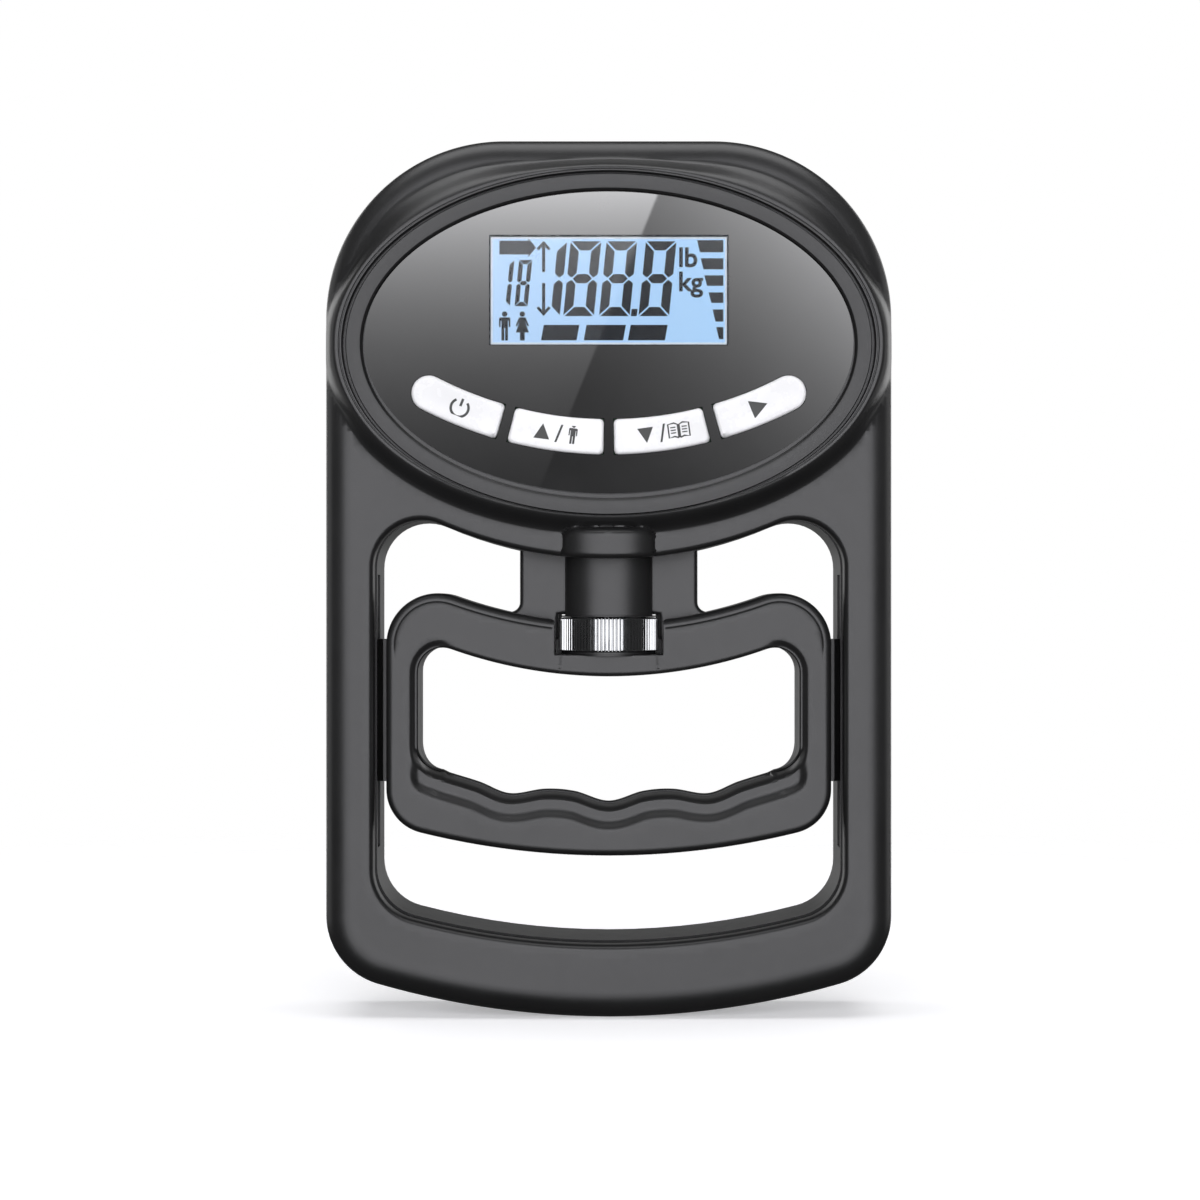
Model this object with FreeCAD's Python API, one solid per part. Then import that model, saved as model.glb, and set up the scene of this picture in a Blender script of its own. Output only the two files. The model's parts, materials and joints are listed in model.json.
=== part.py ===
import FreeCAD, Part
import math
import os

# Hand dynamometer with a sliding, screw-adjusted handle inside an outer frame.
# Millimetres. X is to the right, the face looks along -Y, Z is up.
# The origin is under the middle of the object, at the lowest point of its curved base.

# ---------------------------------------------------------------- outer frame
CASE_HALF_WIDTH = 63.0
CASE_HEIGHT = 195.0
CASE_TOP_CORNER = 39.7
CASE_BASE_RADIUS = 186.0
CASE_BASE_CORNER = 16.0
REAR = 15.0             # flat rear plane
FACE = -10.0            # front plane of the side rails and base bar
PARTING = -2.0          # plane where the two case halves meet
WALL = 2.2
WINDOW_WALL = 3.4       # thicker, because the handle's grooves are cut into it
FRONT_ROUNDING = 4.7
REAR_ROUNDING = 3.0

# ---------------------------------------------------------------- window for the handle
WINDOW_HALF_WIDTH = 52.0
WINDOW_TOP = 101.9      # at the middle, where the edge bulges lowest
WINDOW_TOP_RADIUS = 94.5
WINDOW_TOP_CORNER = 10.4
WINDOW_LOW = 16.5
WINDOW_LOW_RADIUS = 171.7
WINDOW_LOW_CORNER = 11.3

# ---------------------------------------------------------------- elliptical head
HEAD_Z = 149.3
HEAD_CREST = -15.0
HEAD_TOP_AXES = (60.5, 39.3)
HEAD_FOOT_AXES = (62.7, 42.0)
RING_AXES = (57.6, 36.8)
RING_HOLE_AXES = (54.2, 33.6)
RING_FRONT = -14.6
RING_BACK = -13.0
PANEL_AXES = (53.7, 33.1)
PANEL_FRONT = -13.6
PANEL_BACK = -12.4
LEDGE_AXES = (51.5, 31.2)
FIT = 0.1               # all-round gap between pieces that drop into each other
HOOD_HALF_WIDTH = 10.25
HOOD_TOP = 109.3
HOOD_BULGE = 3.2

# ---------------------------------------------------------------- display and board
DISPLAY_HALF_WIDTH = 26.25
DISPLAY_LOW = 148.7
DISPLAY_HIGH = 172.9
GLASS_HALF_WIDTH = 28.0
GLASS_LOW = 147.2
GLASS_HIGH = 174.4
GLASS_FRONT = -12.3
GLASS_BACK = -11.2
BOARD_AXES = (50.9, 30.6)
BOARD_FRONT = -9.9
BOARD_BACK = -8.3
BOARD_SCREWS = ((48.0, 153.0), (36.5, 168.5))

# ---------------------------------------------------------------- keys
KEY_CENTRE_Z = 214.6    # the four keys lie on one arc about this height
KEY_INNER = 82.1
KEY_OUTER = 89.9
KEY_FRONT = -14.2
KEY_SKIRT = 0.8         # hidden flange that keeps a key behind the panel
KEY_TRAVEL = 0.4
KEY_HOLE_GAP = 0.12
MIDDLE_KEY_ANGLES = (0.75, 14.4)
OUTER_KEY_ANGLES = (16.0, 27.3)
SWITCH_TOP = -11.0

# ---------------------------------------------------------------- handle
HANDLE_FRONT = -6.0
HANDLE_BACK = 11.0
AXIS_Y = 2.5            # mid plane of the handle, and the axis of wheel and screw
HANDLE_HALF_WIDTH = 49.7
HANDLE_TOP = 87.7
HANDLE_TOP_RADIUS = 102.0
HANDLE_TOP_CORNER = 11.5
HANDLE_LOW = 35.7
HANDLE_LOW_RADIUS = 175.0
HANDLE_LOW_CORNER = 10.0
HANDLE_ROUNDING = 2.0
HANDLE_WALL = 2.0
LOOP_HALF_WIDTH = 42.6
LOOP_TOP = 75.75
LOOP_TOP_RADIUS = 105.0
LOOP_TOP_CORNER = 5.5
LOOP_SIDE_LOW = 60.3
FINGER_CREST = ((40.7, 56.1), (36.0, 53.8), (29.2, 51.7), (22.4, 49.1), (14.5, 50.1), (7.7, 49.6),
                (0.0, 47.4))
FINGER_ROUNDING = 4.0
NECK_HALF_WIDTH = 20.0
NECK_HALF_DEPTH = 3.5
NECK_TOP = 123.0
SLEEVE_RADIUS = 9.8
SLEEVE_BORE = 6.8
TONGUE_REACH = 53.2     # how far the guide tongues reach sideways
TONGUE_HALF_DEPTH = 2.5
TONGUE_LOW = 52.0
TONGUE_HIGH = 84.0
GROOVE_REACH = 53.8
GROOVE_GAP = 0.3
GROOVE_LOW = 37.0
GROOVE_HIGH = 98.5
SLIDE_GAP = 0.3         # gap between the case and the neck and sleeve

# ---------------------------------------------------------------- wheel and screw
WHEEL_RADIUS = 11.15
WHEEL_LOW = 80.75
WHEEL_HIGH = 89.2
WHEEL_BORE = 3.5
KNURLS = 60
KNURL_DEPTH = 0.45
SLOT_HALF_WIDTH = 11.75
SLOT_REAR_HALF_WIDTH = 9.8
SLOT_REAR = 8.2         # behind this plane the slot is narrower, which keeps the wheel in
SLOT_LOW = 80.3
SLOT_HIGH = 89.9
JOURNAL_RADIUS = 3.0
JOURNAL_LOW = 76.9
BEARING_LOW = 76.8
RUNNING_GAP = 0.05
SCREW_RADIUS = 4.0
SCREW_TOP = 127.5
WASHER_GAP = 0.05
WASHER_RADIUS = 9.8

# ---------------------------------------------------------------- load cell and nut tube
CELL_LEFT = -13.0
CELL_RIGHT = 46.0
CELL_LOW = 141.0
CELL_HIGH = 151.0
CELL_HALF_DEPTH = 7.0
CELL_HOLES = (16.5, 23.5)
CELL_HOLE_RADIUS = 3.2
CELL_SCREWS = (33.0, 41.0)
GAUGE_THICKNESS = 0.2
TUBE_RADIUS = 6.5
TUBE_BORE = 4.08
TUBE_LOW = 104.5
FLANGE_LOW = 137.0
FLANGE_HALF_WIDTH = 13.0
FLANGE_HALF_DEPTH = 8.0
FLANGE_SCREW_X = 10.0

# ---------------------------------------------------------------- batteries
BATTERY_RADIUS = 5.25
BATTERY_HALF_LENGTH = 22.25
BATTERY_Y = 7.4
BATTERY_ROWS = (160.0, 171.5)
TRAY_HALF_WIDTH = 26.0
TRAY_LOW = 153.5
TRAY_HIGH = 178.5
TRAY_FLOOR = 1.9
TRAY_WALL = 2.0
DOOR_HALF_WIDTH = 28.0
DOOR_LOW = 152.0
DOOR_HIGH = 180.0
DOOR_INNER = 13.0
DOOR_OUTER = 14.9
DOOR_GAP = 0.2
DOOR_HALF_THICKNESS = (DOOR_OUTER - DOOR_INNER) / 2
DOOR_AXIS_Y = DOOR_INNER + DOOR_HALF_THICKNESS
DOOR_AXIS_Z = DOOR_LOW + DOOR_GAP + DOOR_HALF_THICKNESS
HINGE_PIN_RADIUS = 0.7
HINGE_PIN_LENGTH = 1.5

# ---------------------------------------------------------------- fasteners, (x, z)
CASE_SCREWS = ((36.0, 11.4), (54.0, 114.0), (41.0, 183.0))
HANDLE_SCREWS = ((40.5, 87.0), (42.0, 47.5))
NECK_SCREW = (15.9, 96.0)


def spot(x, y, z):
    return FreeCAD.Vector(x, y, z)


def block(x, y, z):
    """Box between the given (low, high) pairs."""
    size = (x[1] - x[0], y[1] - y[0], z[1] - z[0])
    return Part.makeBox(*size, spot(x[0], y[0], z[0]))


def rod_y(radius, x, z, low, high):
    return Part.makeCylinder(radius, high - low, spot(x, low, z), spot(0, 1, 0))


def rod_z(radius, low, high):
    """Cylinder on the axis that the wheel, screw, sleeve and nut tube share."""
    return Part.makeCylinder(radius, high - low, spot(0, AXIS_Y, low), spot(0, 0, 1))


def both_sides(places):
    return [(side * x, z) for x, z in places for side in (-1, 1)]


def fused(shapes):
    return shapes[0].multiFuse(shapes[1:]) if len(shapes) > 1 else shapes[0]


# ---------------------------------------------------------------- outlines in the XZ plane
# An outline is a list of strokes. A stroke of two points is a line, one of three points is
# an arc, and a longer one is a smooth curve through its points.

def arc(x, z, radius, start, end):
    """Stroke round (x, z) from one angle to another, in degrees from +X towards +Z."""
    turns = [math.radians(angle) for angle in (start, (start + end) / 2, end)]
    return [spot(x + radius * math.cos(turn), 0, z + radius * math.sin(turn)) for turn in turns]


def mirrored(strokes):
    """The same strokes on the other side of X = 0, run backwards."""
    flipped = []
    for stroke in reversed(strokes):
        flipped.append([spot(-p.x, 0, p.z) for p in reversed(stroke)])
    return flipped


def edge(stroke):
    if len(stroke) == 2:
        return Part.LineSegment(*stroke).toShape()
    if len(stroke) == 3:
        return Part.Arc(*stroke).toShape()
    curve = Part.BSplineCurve()
    curve.interpolate(stroke)
    return curve.toShape()


def face_of(strokes):
    """Closed face through the strokes, with straight lines across the gaps between them."""
    edges = []
    for stroke, following in zip(strokes, strokes[1:] + strokes[:1]):
        edges.append(edge(stroke))
        if stroke[-1].distanceToPoint(following[0]) > 1e-6:
            edges.append(edge([stroke[-1], following[0]]))
    return Part.Face(Part.Wire(edges))


def slab(face, low, high):
    """Extrude a face of the XZ plane between two Y planes."""
    moved = face.copy()
    moved.translate(spot(0, low, 0))
    return moved.extrude(spot(0, high - low, 0))


def cradle(half_width, top, top_radius, top_corner, low, low_radius, low_corner):
    """Outline whose top and bottom edges both bulge downwards between rounded corners."""
    top_centre = top + top_radius
    corner_x = half_width - top_corner
    corner_z = top_centre - math.sqrt((top_radius + top_corner) ** 2 - corner_x ** 2)
    lean = math.degrees(math.atan2(corner_z - top_centre, corner_x))
    half = [arc(0, top_centre, top_radius, -90, lean)]
    half.append(arc(corner_x, corner_z, top_corner, 180 + lean, 0))
    half += base_strokes(half_width, low, low_radius, low_corner)
    return face_of(half + mirrored(half))


def base_strokes(half_width, low, radius, corner):
    """Right half of a base: corner arc, then the shallow arc down to X = 0."""
    centre = low + radius
    corner_x = half_width - corner
    corner_z = centre - math.sqrt((radius - corner) ** 2 - corner_x ** 2)
    lean = math.degrees(math.atan2(corner_z - centre, corner_x))
    return [arc(corner_x, corner_z, corner, 0, lean), arc(0, centre, radius, lean, -90)]


def case_outline(inset=0.0):
    radius = CASE_TOP_CORNER - inset
    centre_x = CASE_HALF_WIDTH - CASE_TOP_CORNER
    centre_z = CASE_HEIGHT - CASE_TOP_CORNER
    half = [arc(centre_x, centre_z, radius, 90, 0)]
    half += base_strokes(CASE_HALF_WIDTH - inset, inset, CASE_BASE_RADIUS - inset,
                         CASE_BASE_CORNER - inset)
    return face_of(half + mirrored(half))


def window_outline(grow=0.0):
    return cradle(WINDOW_HALF_WIDTH + grow, WINDOW_TOP + grow, WINDOW_TOP_RADIUS - grow,
                  WINDOW_TOP_CORNER + grow, WINDOW_LOW - grow, WINDOW_LOW_RADIUS + grow,
                  WINDOW_LOW_CORNER + grow)


def handle_outline(inset=0.0):
    return cradle(HANDLE_HALF_WIDTH - inset, HANDLE_TOP - inset, HANDLE_TOP_RADIUS + inset,
                  HANDLE_TOP_CORNER - inset, HANDLE_LOW + inset, HANDLE_LOW_RADIUS - inset,
                  HANDLE_LOW_CORNER - inset)


def loop_outline(grow=0.0):
    """Finger loop: bulging top edge, straight sides, and a lower edge with finger grooves."""
    half_width = LOOP_HALF_WIDTH + grow
    corner = LOOP_TOP_CORNER + grow
    top_radius = LOOP_TOP_RADIUS - grow
    top_centre = LOOP_TOP + LOOP_TOP_RADIUS
    corner_x = half_width - corner
    corner_z = top_centre - math.sqrt((top_radius + corner) ** 2 - corner_x ** 2)
    lean = math.degrees(math.atan2(corner_z - top_centre, corner_x))
    half = [arc(0, top_centre, top_radius, -90, lean)]
    half.append(arc(corner_x, corner_z, corner, 180 + lean, 0))
    crest = [spot(x, 0, z - grow) for x, z in FINGER_CREST]
    crest = [spot(half_width, 0, LOOP_SIDE_LOW)] + crest
    grooves = crest + mirrored([crest])[0][1:]
    return face_of(half + [grooves] + mirrored(half))


def ellipse_wire(axes, y):
    long_end = spot(axes[0], y, HEAD_Z)
    short_end = spot(0, y, HEAD_Z + axes[1])
    return Part.Wire(Part.Ellipse(long_end, short_end, spot(0, y, HEAD_Z)).toShape())


def ellipse_slab(axes, low, high, grow=0.0):
    wire = ellipse_wire((axes[0] + grow, axes[1] + grow), low)
    return Part.Face(wire).extrude(spot(0, high - low, 0))


def key_outline(key, grow=0.0):
    """Curved key; grow widens it all round. The keys away from the middle end in a round."""
    side, angles = KEYS[key]
    inner = KEY_INNER - grow
    outer = KEY_OUTER + grow
    middle = (KEY_INNER + KEY_OUTER) / 2
    start = -90 + angles[0] - math.degrees(grow / middle)
    end = -90 + angles[1]
    if angles == MIDDLE_KEY_ANGLES:
        end += math.degrees(grow / middle)
    strokes = [arc(0, KEY_CENTRE_Z, outer, start, end)]
    if angles == OUTER_KEY_ANGLES:
        turn = math.radians(end)
        round_x = middle * math.cos(turn)
        round_z = KEY_CENTRE_Z + middle * math.sin(turn)
        strokes.append(arc(round_x, round_z, (outer - inner) / 2, end, end + 180))
    strokes.append(arc(0, KEY_CENTRE_Z, inner, end, start))
    return face_of(strokes if side > 0 else mirrored(strokes))


def key_middle(key):
    side, angles = KEYS[key]
    turn = math.radians(sum(angles) / 2)
    middle = (KEY_INNER + KEY_OUTER) / 2
    return side * middle * math.sin(turn), KEY_CENTRE_Z - middle * math.cos(turn)


KEYS = {
    "power_key": (-1, OUTER_KEY_ANGLES),
    "up_key": (-1, MIDDLE_KEY_ANGLES),
    "down_key": (1, MIDDLE_KEY_ANGLES),
    "start_key": (1, OUTER_KEY_ANGLES),
}


def rounded(shape, radius, wanted):
    """Fillet the edges whose every vertex and centre pass the test."""
    edges = [e for e in shape.Edges if wanted(e)]
    return shape.makeFillet(radius, edges)


def lies_on(y):
    def test(e):
        box = e.BoundBox
        return abs(box.YMin - y) < 1e-4 and abs(box.YMax - y) < 1e-4
    return test


# ---------------------------------------------------------------- case
def case_block():
    """Outer frame as one rounded block, before the window and the inside are cut."""
    body = slab(case_outline(), FACE, REAR)
    body = rounded(body, FRONT_ROUNDING, lies_on(FACE))
    return rounded(body, REAR_ROUNDING, lies_on(REAR))


def neck_passage():
    """Space through the underside of the head for the neck plate and the sleeve."""
    reach = (WINDOW_TOP - 5, WINDOW_TOP + 12)
    half = NECK_HALF_DEPTH + SLIDE_GAP
    plate = block((-NECK_HALF_WIDTH - SLIDE_GAP, NECK_HALF_WIDTH + SLIDE_GAP),
                  (AXIS_Y - half, AXIS_Y + half), reach)
    return plate.fuse(rod_z(SLEEVE_RADIUS + SLIDE_GAP, *reach))


def case_cavity(low, high):
    """Inside of the frame: everything between the outer wall and the window's wall."""
    inside = slab(case_outline(WALL), low, high)
    return inside.cut(slab(window_outline(WINDOW_WALL), low - 1, high + 1))


def make_front_case(shell):
    head = Part.makeLoft([ellipse_wire(HEAD_TOP_AXES, HEAD_CREST),
                          ellipse_wire(HEAD_FOOT_AXES, FACE)], True)
    hood_face = Part.Face(Part.Wire(Part.Ellipse(
        spot(HOOD_HALF_WIDTH, FACE, WINDOW_TOP), spot(0, FACE - HOOD_BULGE, WINDOW_TOP),
        spot(0, FACE, WINDOW_TOP)).toShape()))
    hood = hood_face.extrude(spot(0, 0, HOOD_TOP - WINDOW_TOP))
    front = shell.common(block((-70, 70), (FACE - 1, PARTING), (-1, 200)))
    front = fused([front, head, hood])
    front = front.cut(slab(window_outline(), FACE - 10, PARTING + 1))
    pillars = [rod_y(3.5, x, z, FACE + WALL - 0.5, PARTING) for x, z in both_sides(CASE_SCREWS)]
    cuts = [case_cavity(FACE + WALL, PARTING + 1).cut(fused(pillars))]
    cuts.append(ellipse_slab(RING_AXES, HEAD_CREST - 1, RING_BACK, FIT))
    cuts.append(ellipse_slab(PANEL_AXES, HEAD_CREST - 1, PANEL_BACK, FIT))
    posts = [rod_y(3.2, x, z, PANEL_BACK, BOARD_FRONT) for x, z in both_sides(BOARD_SCREWS)]
    cuts.append(ellipse_slab(LEDGE_AXES, PANEL_BACK - 1, FACE + WALL + 1).cut(fused(posts)))
    cuts.append(neck_passage())
    cuts += [rod_y(1.4, x, z, -7.0, PARTING) for x, z in both_sides(CASE_SCREWS)]
    cuts += [rod_y(1.0, x, z, -11.9, BOARD_FRONT) for x, z in both_sides(BOARD_SCREWS)]
    return front.cut(fused(cuts))


def make_rear_case(shell):
    rear = shell.common(block((-70, 70), (PARTING, REAR + 1), (-1, 200)))
    rear = rear.cut(slab(window_outline(), PARTING - 1, REAR + 1))
    solid_inside = [rod_y(4.0, x, z, PARTING, REAR - WALL) for x, z in both_sides(CASE_SCREWS)]
    solid_inside.append(block((-TRAY_HALF_WIDTH - 3, TRAY_HALF_WIDTH + 3), (TRAY_FLOOR - 1, REAR - WALL),
                              (TRAY_LOW - TRAY_WALL, TRAY_HIGH + TRAY_WALL)))
    solid_inside.append(block((28, CELL_RIGHT), (AXIS_Y + CELL_HALF_DEPTH, REAR - WALL),
                              (CELL_LOW + 0.5, CELL_HIGH - 0.5)))
    cuts = [case_cavity(PARTING - 1, REAR - WALL).cut(fused(solid_inside))]
    cuts.append(neck_passage())
    cuts.append(block((-TRAY_HALF_WIDTH, TRAY_HALF_WIDTH), (TRAY_FLOOR, REAR + 1), (TRAY_LOW, TRAY_HIGH)))
    cuts.append(block((-DOOR_HALF_WIDTH, DOOR_HALF_WIDTH), (DOOR_INNER - FIT, REAR + 1),
                      (DOOR_LOW, DOOR_HIGH)))
    for side in (-1, 1):
        reach = sorted((side * (WINDOW_HALF_WIDTH - 1), side * GROOVE_REACH))
        half = TONGUE_HALF_DEPTH + GROOVE_GAP
        cuts.append(block(reach, (AXIS_Y - half, AXIS_Y + half), (GROOVE_LOW, GROOVE_HIGH)))
    for x, z in both_sides(CASE_SCREWS):
        cuts.append(rod_y(3.0, x, z, 8.0, REAR + 1))
        cuts.append(rod_y(1.6, x, z, PARTING - 1, 8.0))
    cuts += [rod_y(2.0, x, CELL_MIDDLE, 9.0, 13.6) for x in CELL_SCREWS]
    cuts += hinge_pins(HINGE_PIN_RADIUS + RUNNING_GAP, DOOR_HALF_WIDTH - 1, DOOR_GAP + HINGE_PIN_LENGTH + 1)
    return rear.cut(fused(cuts))


CELL_MIDDLE = (CELL_LOW + CELL_HIGH) / 2


def make_bezel_ring():
    ring = ellipse_slab(RING_AXES, RING_FRONT, RING_BACK)
    return ring.cut(ellipse_slab(RING_HOLE_AXES, RING_FRONT - 1, RING_BACK + 1))


def display_opening(shrink=0.0):
    return block((-DISPLAY_HALF_WIDTH + shrink, DISPLAY_HALF_WIDTH - shrink), (PANEL_FRONT, PANEL_BACK),
                 (DISPLAY_LOW + shrink, DISPLAY_HIGH - shrink))


def make_face_panel():
    panel = ellipse_slab(PANEL_AXES, PANEL_FRONT, PANEL_BACK)
    holes = [slab(key_outline(key, KEY_HOLE_GAP), PANEL_FRONT - 1, PANEL_BACK + 1) for key in KEYS]
    return panel.cut(fused(holes + [display_opening()]))


def make_key(key):
    """Cap through the panel, skirt behind it, and a stem that stops short of the switch."""
    skirt_front = PANEL_BACK + 0.05
    skirt_back = skirt_front + 0.6
    cap = slab(key_outline(key), KEY_FRONT, skirt_front)
    cap = rounded(cap, 0.4, lies_on(KEY_FRONT))
    skirt = slab(key_outline(key, KEY_SKIRT), skirt_front, skirt_back)
    x, z = key_middle(key)
    stem = rod_y(1.5, x, z, skirt_back, SWITCH_TOP - KEY_TRAVEL - 0.05)
    return fused([cap, skirt, stem])


# ---------------------------------------------------------------- display and electronics
def make_lcd_glass():
    return block((-GLASS_HALF_WIDTH, GLASS_HALF_WIDTH), (GLASS_FRONT, GLASS_BACK), (GLASS_LOW, GLASS_HIGH))


def make_lcd_backlight():
    return block((1 - GLASS_HALF_WIDTH, GLASS_HALF_WIDTH - 1), (GLASS_BACK, BOARD_FRONT - 0.05),
                 (GLASS_LOW + 2.2, GLASS_HIGH - 0.2))


def make_lcd_connector_strip():
    return block((3 - GLASS_HALF_WIDTH, GLASS_HALF_WIDTH - 3), (GLASS_BACK, BOARD_FRONT),
                 (GLASS_LOW + 0.2, GLASS_LOW + 1.9))


def make_main_board():
    board = ellipse_slab(BOARD_AXES, BOARD_FRONT, BOARD_BACK)
    holes = [rod_y(1.2, x, z, BOARD_FRONT - 1, BOARD_BACK + 1) for x, z in both_sides(BOARD_SCREWS)]
    chips = [block((-7, 7), (BOARD_BACK, BOARD_BACK + 1.2), (160, 172)),
             block((18, 26), (BOARD_BACK, BOARD_BACK + 1.0), (128, 133)),
             block((-34, -26), (BOARD_BACK, BOARD_BACK + 2.4), (128, 136))]
    return fused([board.cut(fused(holes))] + chips)


def make_key_switches():
    switches = []
    for key in KEYS:
        x, z = key_middle(key)
        base = block((x - 2.2, x + 2.2), (SWITCH_TOP + 0.35, BOARD_FRONT), (z - 2.2, z + 2.2))
        switches.append(base.fuse(rod_y(1.1, x, z, SWITCH_TOP, SWITCH_TOP + 0.35)))
    return Part.makeCompound(switches)


def make_board_screws():
    screws = []
    for x, z in both_sides(BOARD_SCREWS):
        head = rod_y(1.9, x, z, BOARD_BACK, BOARD_BACK + 1.2)
        screws.append(head.fuse(rod_y(1.0, x, z, -11.8, BOARD_BACK)))
    return Part.makeCompound(screws)


# ---------------------------------------------------------------- load cell and nut tube
def make_load_cell():
    depth = (AXIS_Y - CELL_HALF_DEPTH, AXIS_Y + CELL_HALF_DEPTH)
    beam = block((CELL_LEFT, CELL_RIGHT), depth, (CELL_LOW, CELL_HIGH))
    beam = rounded(beam, 0.6, lambda e: abs(e.Length - (CELL_RIGHT - CELL_LEFT)) < 1e-6)
    cuts = [rod_y(CELL_HOLE_RADIUS, x, CELL_MIDDLE, depth[0] - 1, depth[1] + 1) for x in CELL_HOLES]
    cuts.append(block(CELL_HOLES, (depth[0] - 1, depth[1] + 1), (CELL_MIDDLE - 1, CELL_MIDDLE + 1)))
    cuts += [rod_y(2.15, x, CELL_MIDDLE, depth[0] - 1, depth[1] + 1) for x in CELL_SCREWS]
    for x in (-FLANGE_SCREW_X, FLANGE_SCREW_X):
        cuts.append(Part.makeCylinder(1.5, 7, spot(x, AXIS_Y, CELL_LOW), spot(0, 0, 1)))
    return beam.cut(fused(cuts))


def make_strain_gauges():
    left, right = CELL_HOLES
    depth = (AXIS_Y - 3, AXIS_Y + 3)
    upper = block((left - 2, right + 2), depth, (CELL_HIGH, CELL_HIGH + GAUGE_THICKNESS))
    lower = block((left - 2, right + 2), depth, (CELL_LOW - GAUGE_THICKNESS, CELL_LOW))
    return Part.makeCompound([upper, lower])


def make_load_cell_screws():
    front = AXIS_Y - CELL_HALF_DEPTH
    screws = []
    for x in CELL_SCREWS:
        head = rod_y(3.5, x, CELL_MIDDLE, front - 3, front)
        head = head.cut(rod_y(1.6, x, CELL_MIDDLE, front - 3, front - 1.2))
        screws.append(head.fuse(rod_y(2.0, x, CELL_MIDDLE, front, 13.5)))
    return Part.makeCompound(screws)


def make_load_cell_leads():
    """Four leads from the cell's front face straight to the circuit board."""
    front = AXIS_Y - CELL_HALF_DEPTH
    return Part.makeCompound([rod_y(0.5, -6 + 2 * n, CELL_MIDDLE + 2, BOARD_BACK, front) for n in range(4)])


def make_nut_tube():
    tube = rod_z(TUBE_RADIUS, TUBE_LOW, FLANGE_LOW)
    flange = block((-FLANGE_HALF_WIDTH, FLANGE_HALF_WIDTH),
                   (AXIS_Y - FLANGE_HALF_DEPTH, AXIS_Y + FLANGE_HALF_DEPTH), (FLANGE_LOW, CELL_LOW))
    cuts = [rod_z(TUBE_BORE, TUBE_LOW - 1, CELL_LOW + 1)]
    for x in (-FLANGE_SCREW_X, FLANGE_SCREW_X):
        cuts.append(Part.makeCylinder(2.8, 2.5, spot(x, AXIS_Y, FLANGE_LOW), spot(0, 0, 1)))
        cuts.append(Part.makeCylinder(1.6, 5, spot(x, AXIS_Y, FLANGE_LOW), spot(0, 0, 1)))
    return tube.fuse(flange).cut(fused(cuts))


def make_nut_tube_screws():
    screws = []
    for x in (-FLANGE_SCREW_X, FLANGE_SCREW_X):
        head = Part.makeCylinder(2.7, 2.3, spot(x, AXIS_Y, FLANGE_LOW + 0.2), spot(0, 0, 1))
        shank = Part.makeCylinder(1.5, 8.5, spot(x, AXIS_Y, FLANGE_LOW + 2.3), spot(0, 0, 1))
        screws.append(head.fuse(shank))
    return Part.makeCompound(screws)


# ---------------------------------------------------------------- wheel and screw
def make_adjust_wheel():
    """Straight-knurled wheel with a chamfer at each rim."""
    chamfer = 0.6
    rim = WHEEL_RADIUS
    profile = [spot(0, 0, WHEEL_LOW), spot(rim - chamfer, 0, WHEEL_LOW), spot(rim, 0, WHEEL_LOW + chamfer),
               spot(rim, 0, WHEEL_HIGH - chamfer), spot(rim - chamfer, 0, WHEEL_HIGH), spot(0, 0, WHEEL_HIGH)]
    wheel = Part.Face(Part.makePolygon(profile + profile[:1])).revolve(spot(0, 0, 0), spot(0, 0, 1), 360)
    wheel.translate(spot(0, AXIS_Y, 0))
    grooves = []
    for step in range(KNURLS):
        turn = 2 * math.pi * step / KNURLS
        reach = rim + 0.1
        place = spot(reach * math.cos(turn), AXIS_Y + reach * math.sin(turn), WHEEL_LOW - 1)
        grooves.append(Part.makeCylinder(KNURL_DEPTH, WHEEL_HIGH - WHEEL_LOW + 2, place, spot(0, 0, 1)))
    return wheel.cut(Part.makeCompound(grooves)).cut(rod_z(WHEEL_BORE, WHEEL_LOW - 1, WHEEL_HIGH + 1))


def make_adjust_screw():
    return fused([rod_z(JOURNAL_RADIUS, JOURNAL_LOW, WHEEL_LOW), rod_z(WHEEL_BORE, WHEEL_LOW, WHEEL_HIGH),
                  rod_z(SCREW_RADIUS, WHEEL_HIGH, SCREW_TOP)])


def make_thrust_washers():
    upper = rod_z(WASHER_RADIUS, WHEEL_HIGH + WASHER_GAP, SLOT_HIGH)
    upper = upper.cut(rod_z(SCREW_RADIUS + FIT, WHEEL_HIGH, SLOT_HIGH + 1))
    lower = rod_z(WASHER_RADIUS, SLOT_LOW, WHEEL_LOW - WASHER_GAP)
    lower = lower.cut(rod_z(JOURNAL_RADIUS + FIT, SLOT_LOW - 1, WHEEL_LOW))
    return Part.makeCompound([upper, lower])


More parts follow.
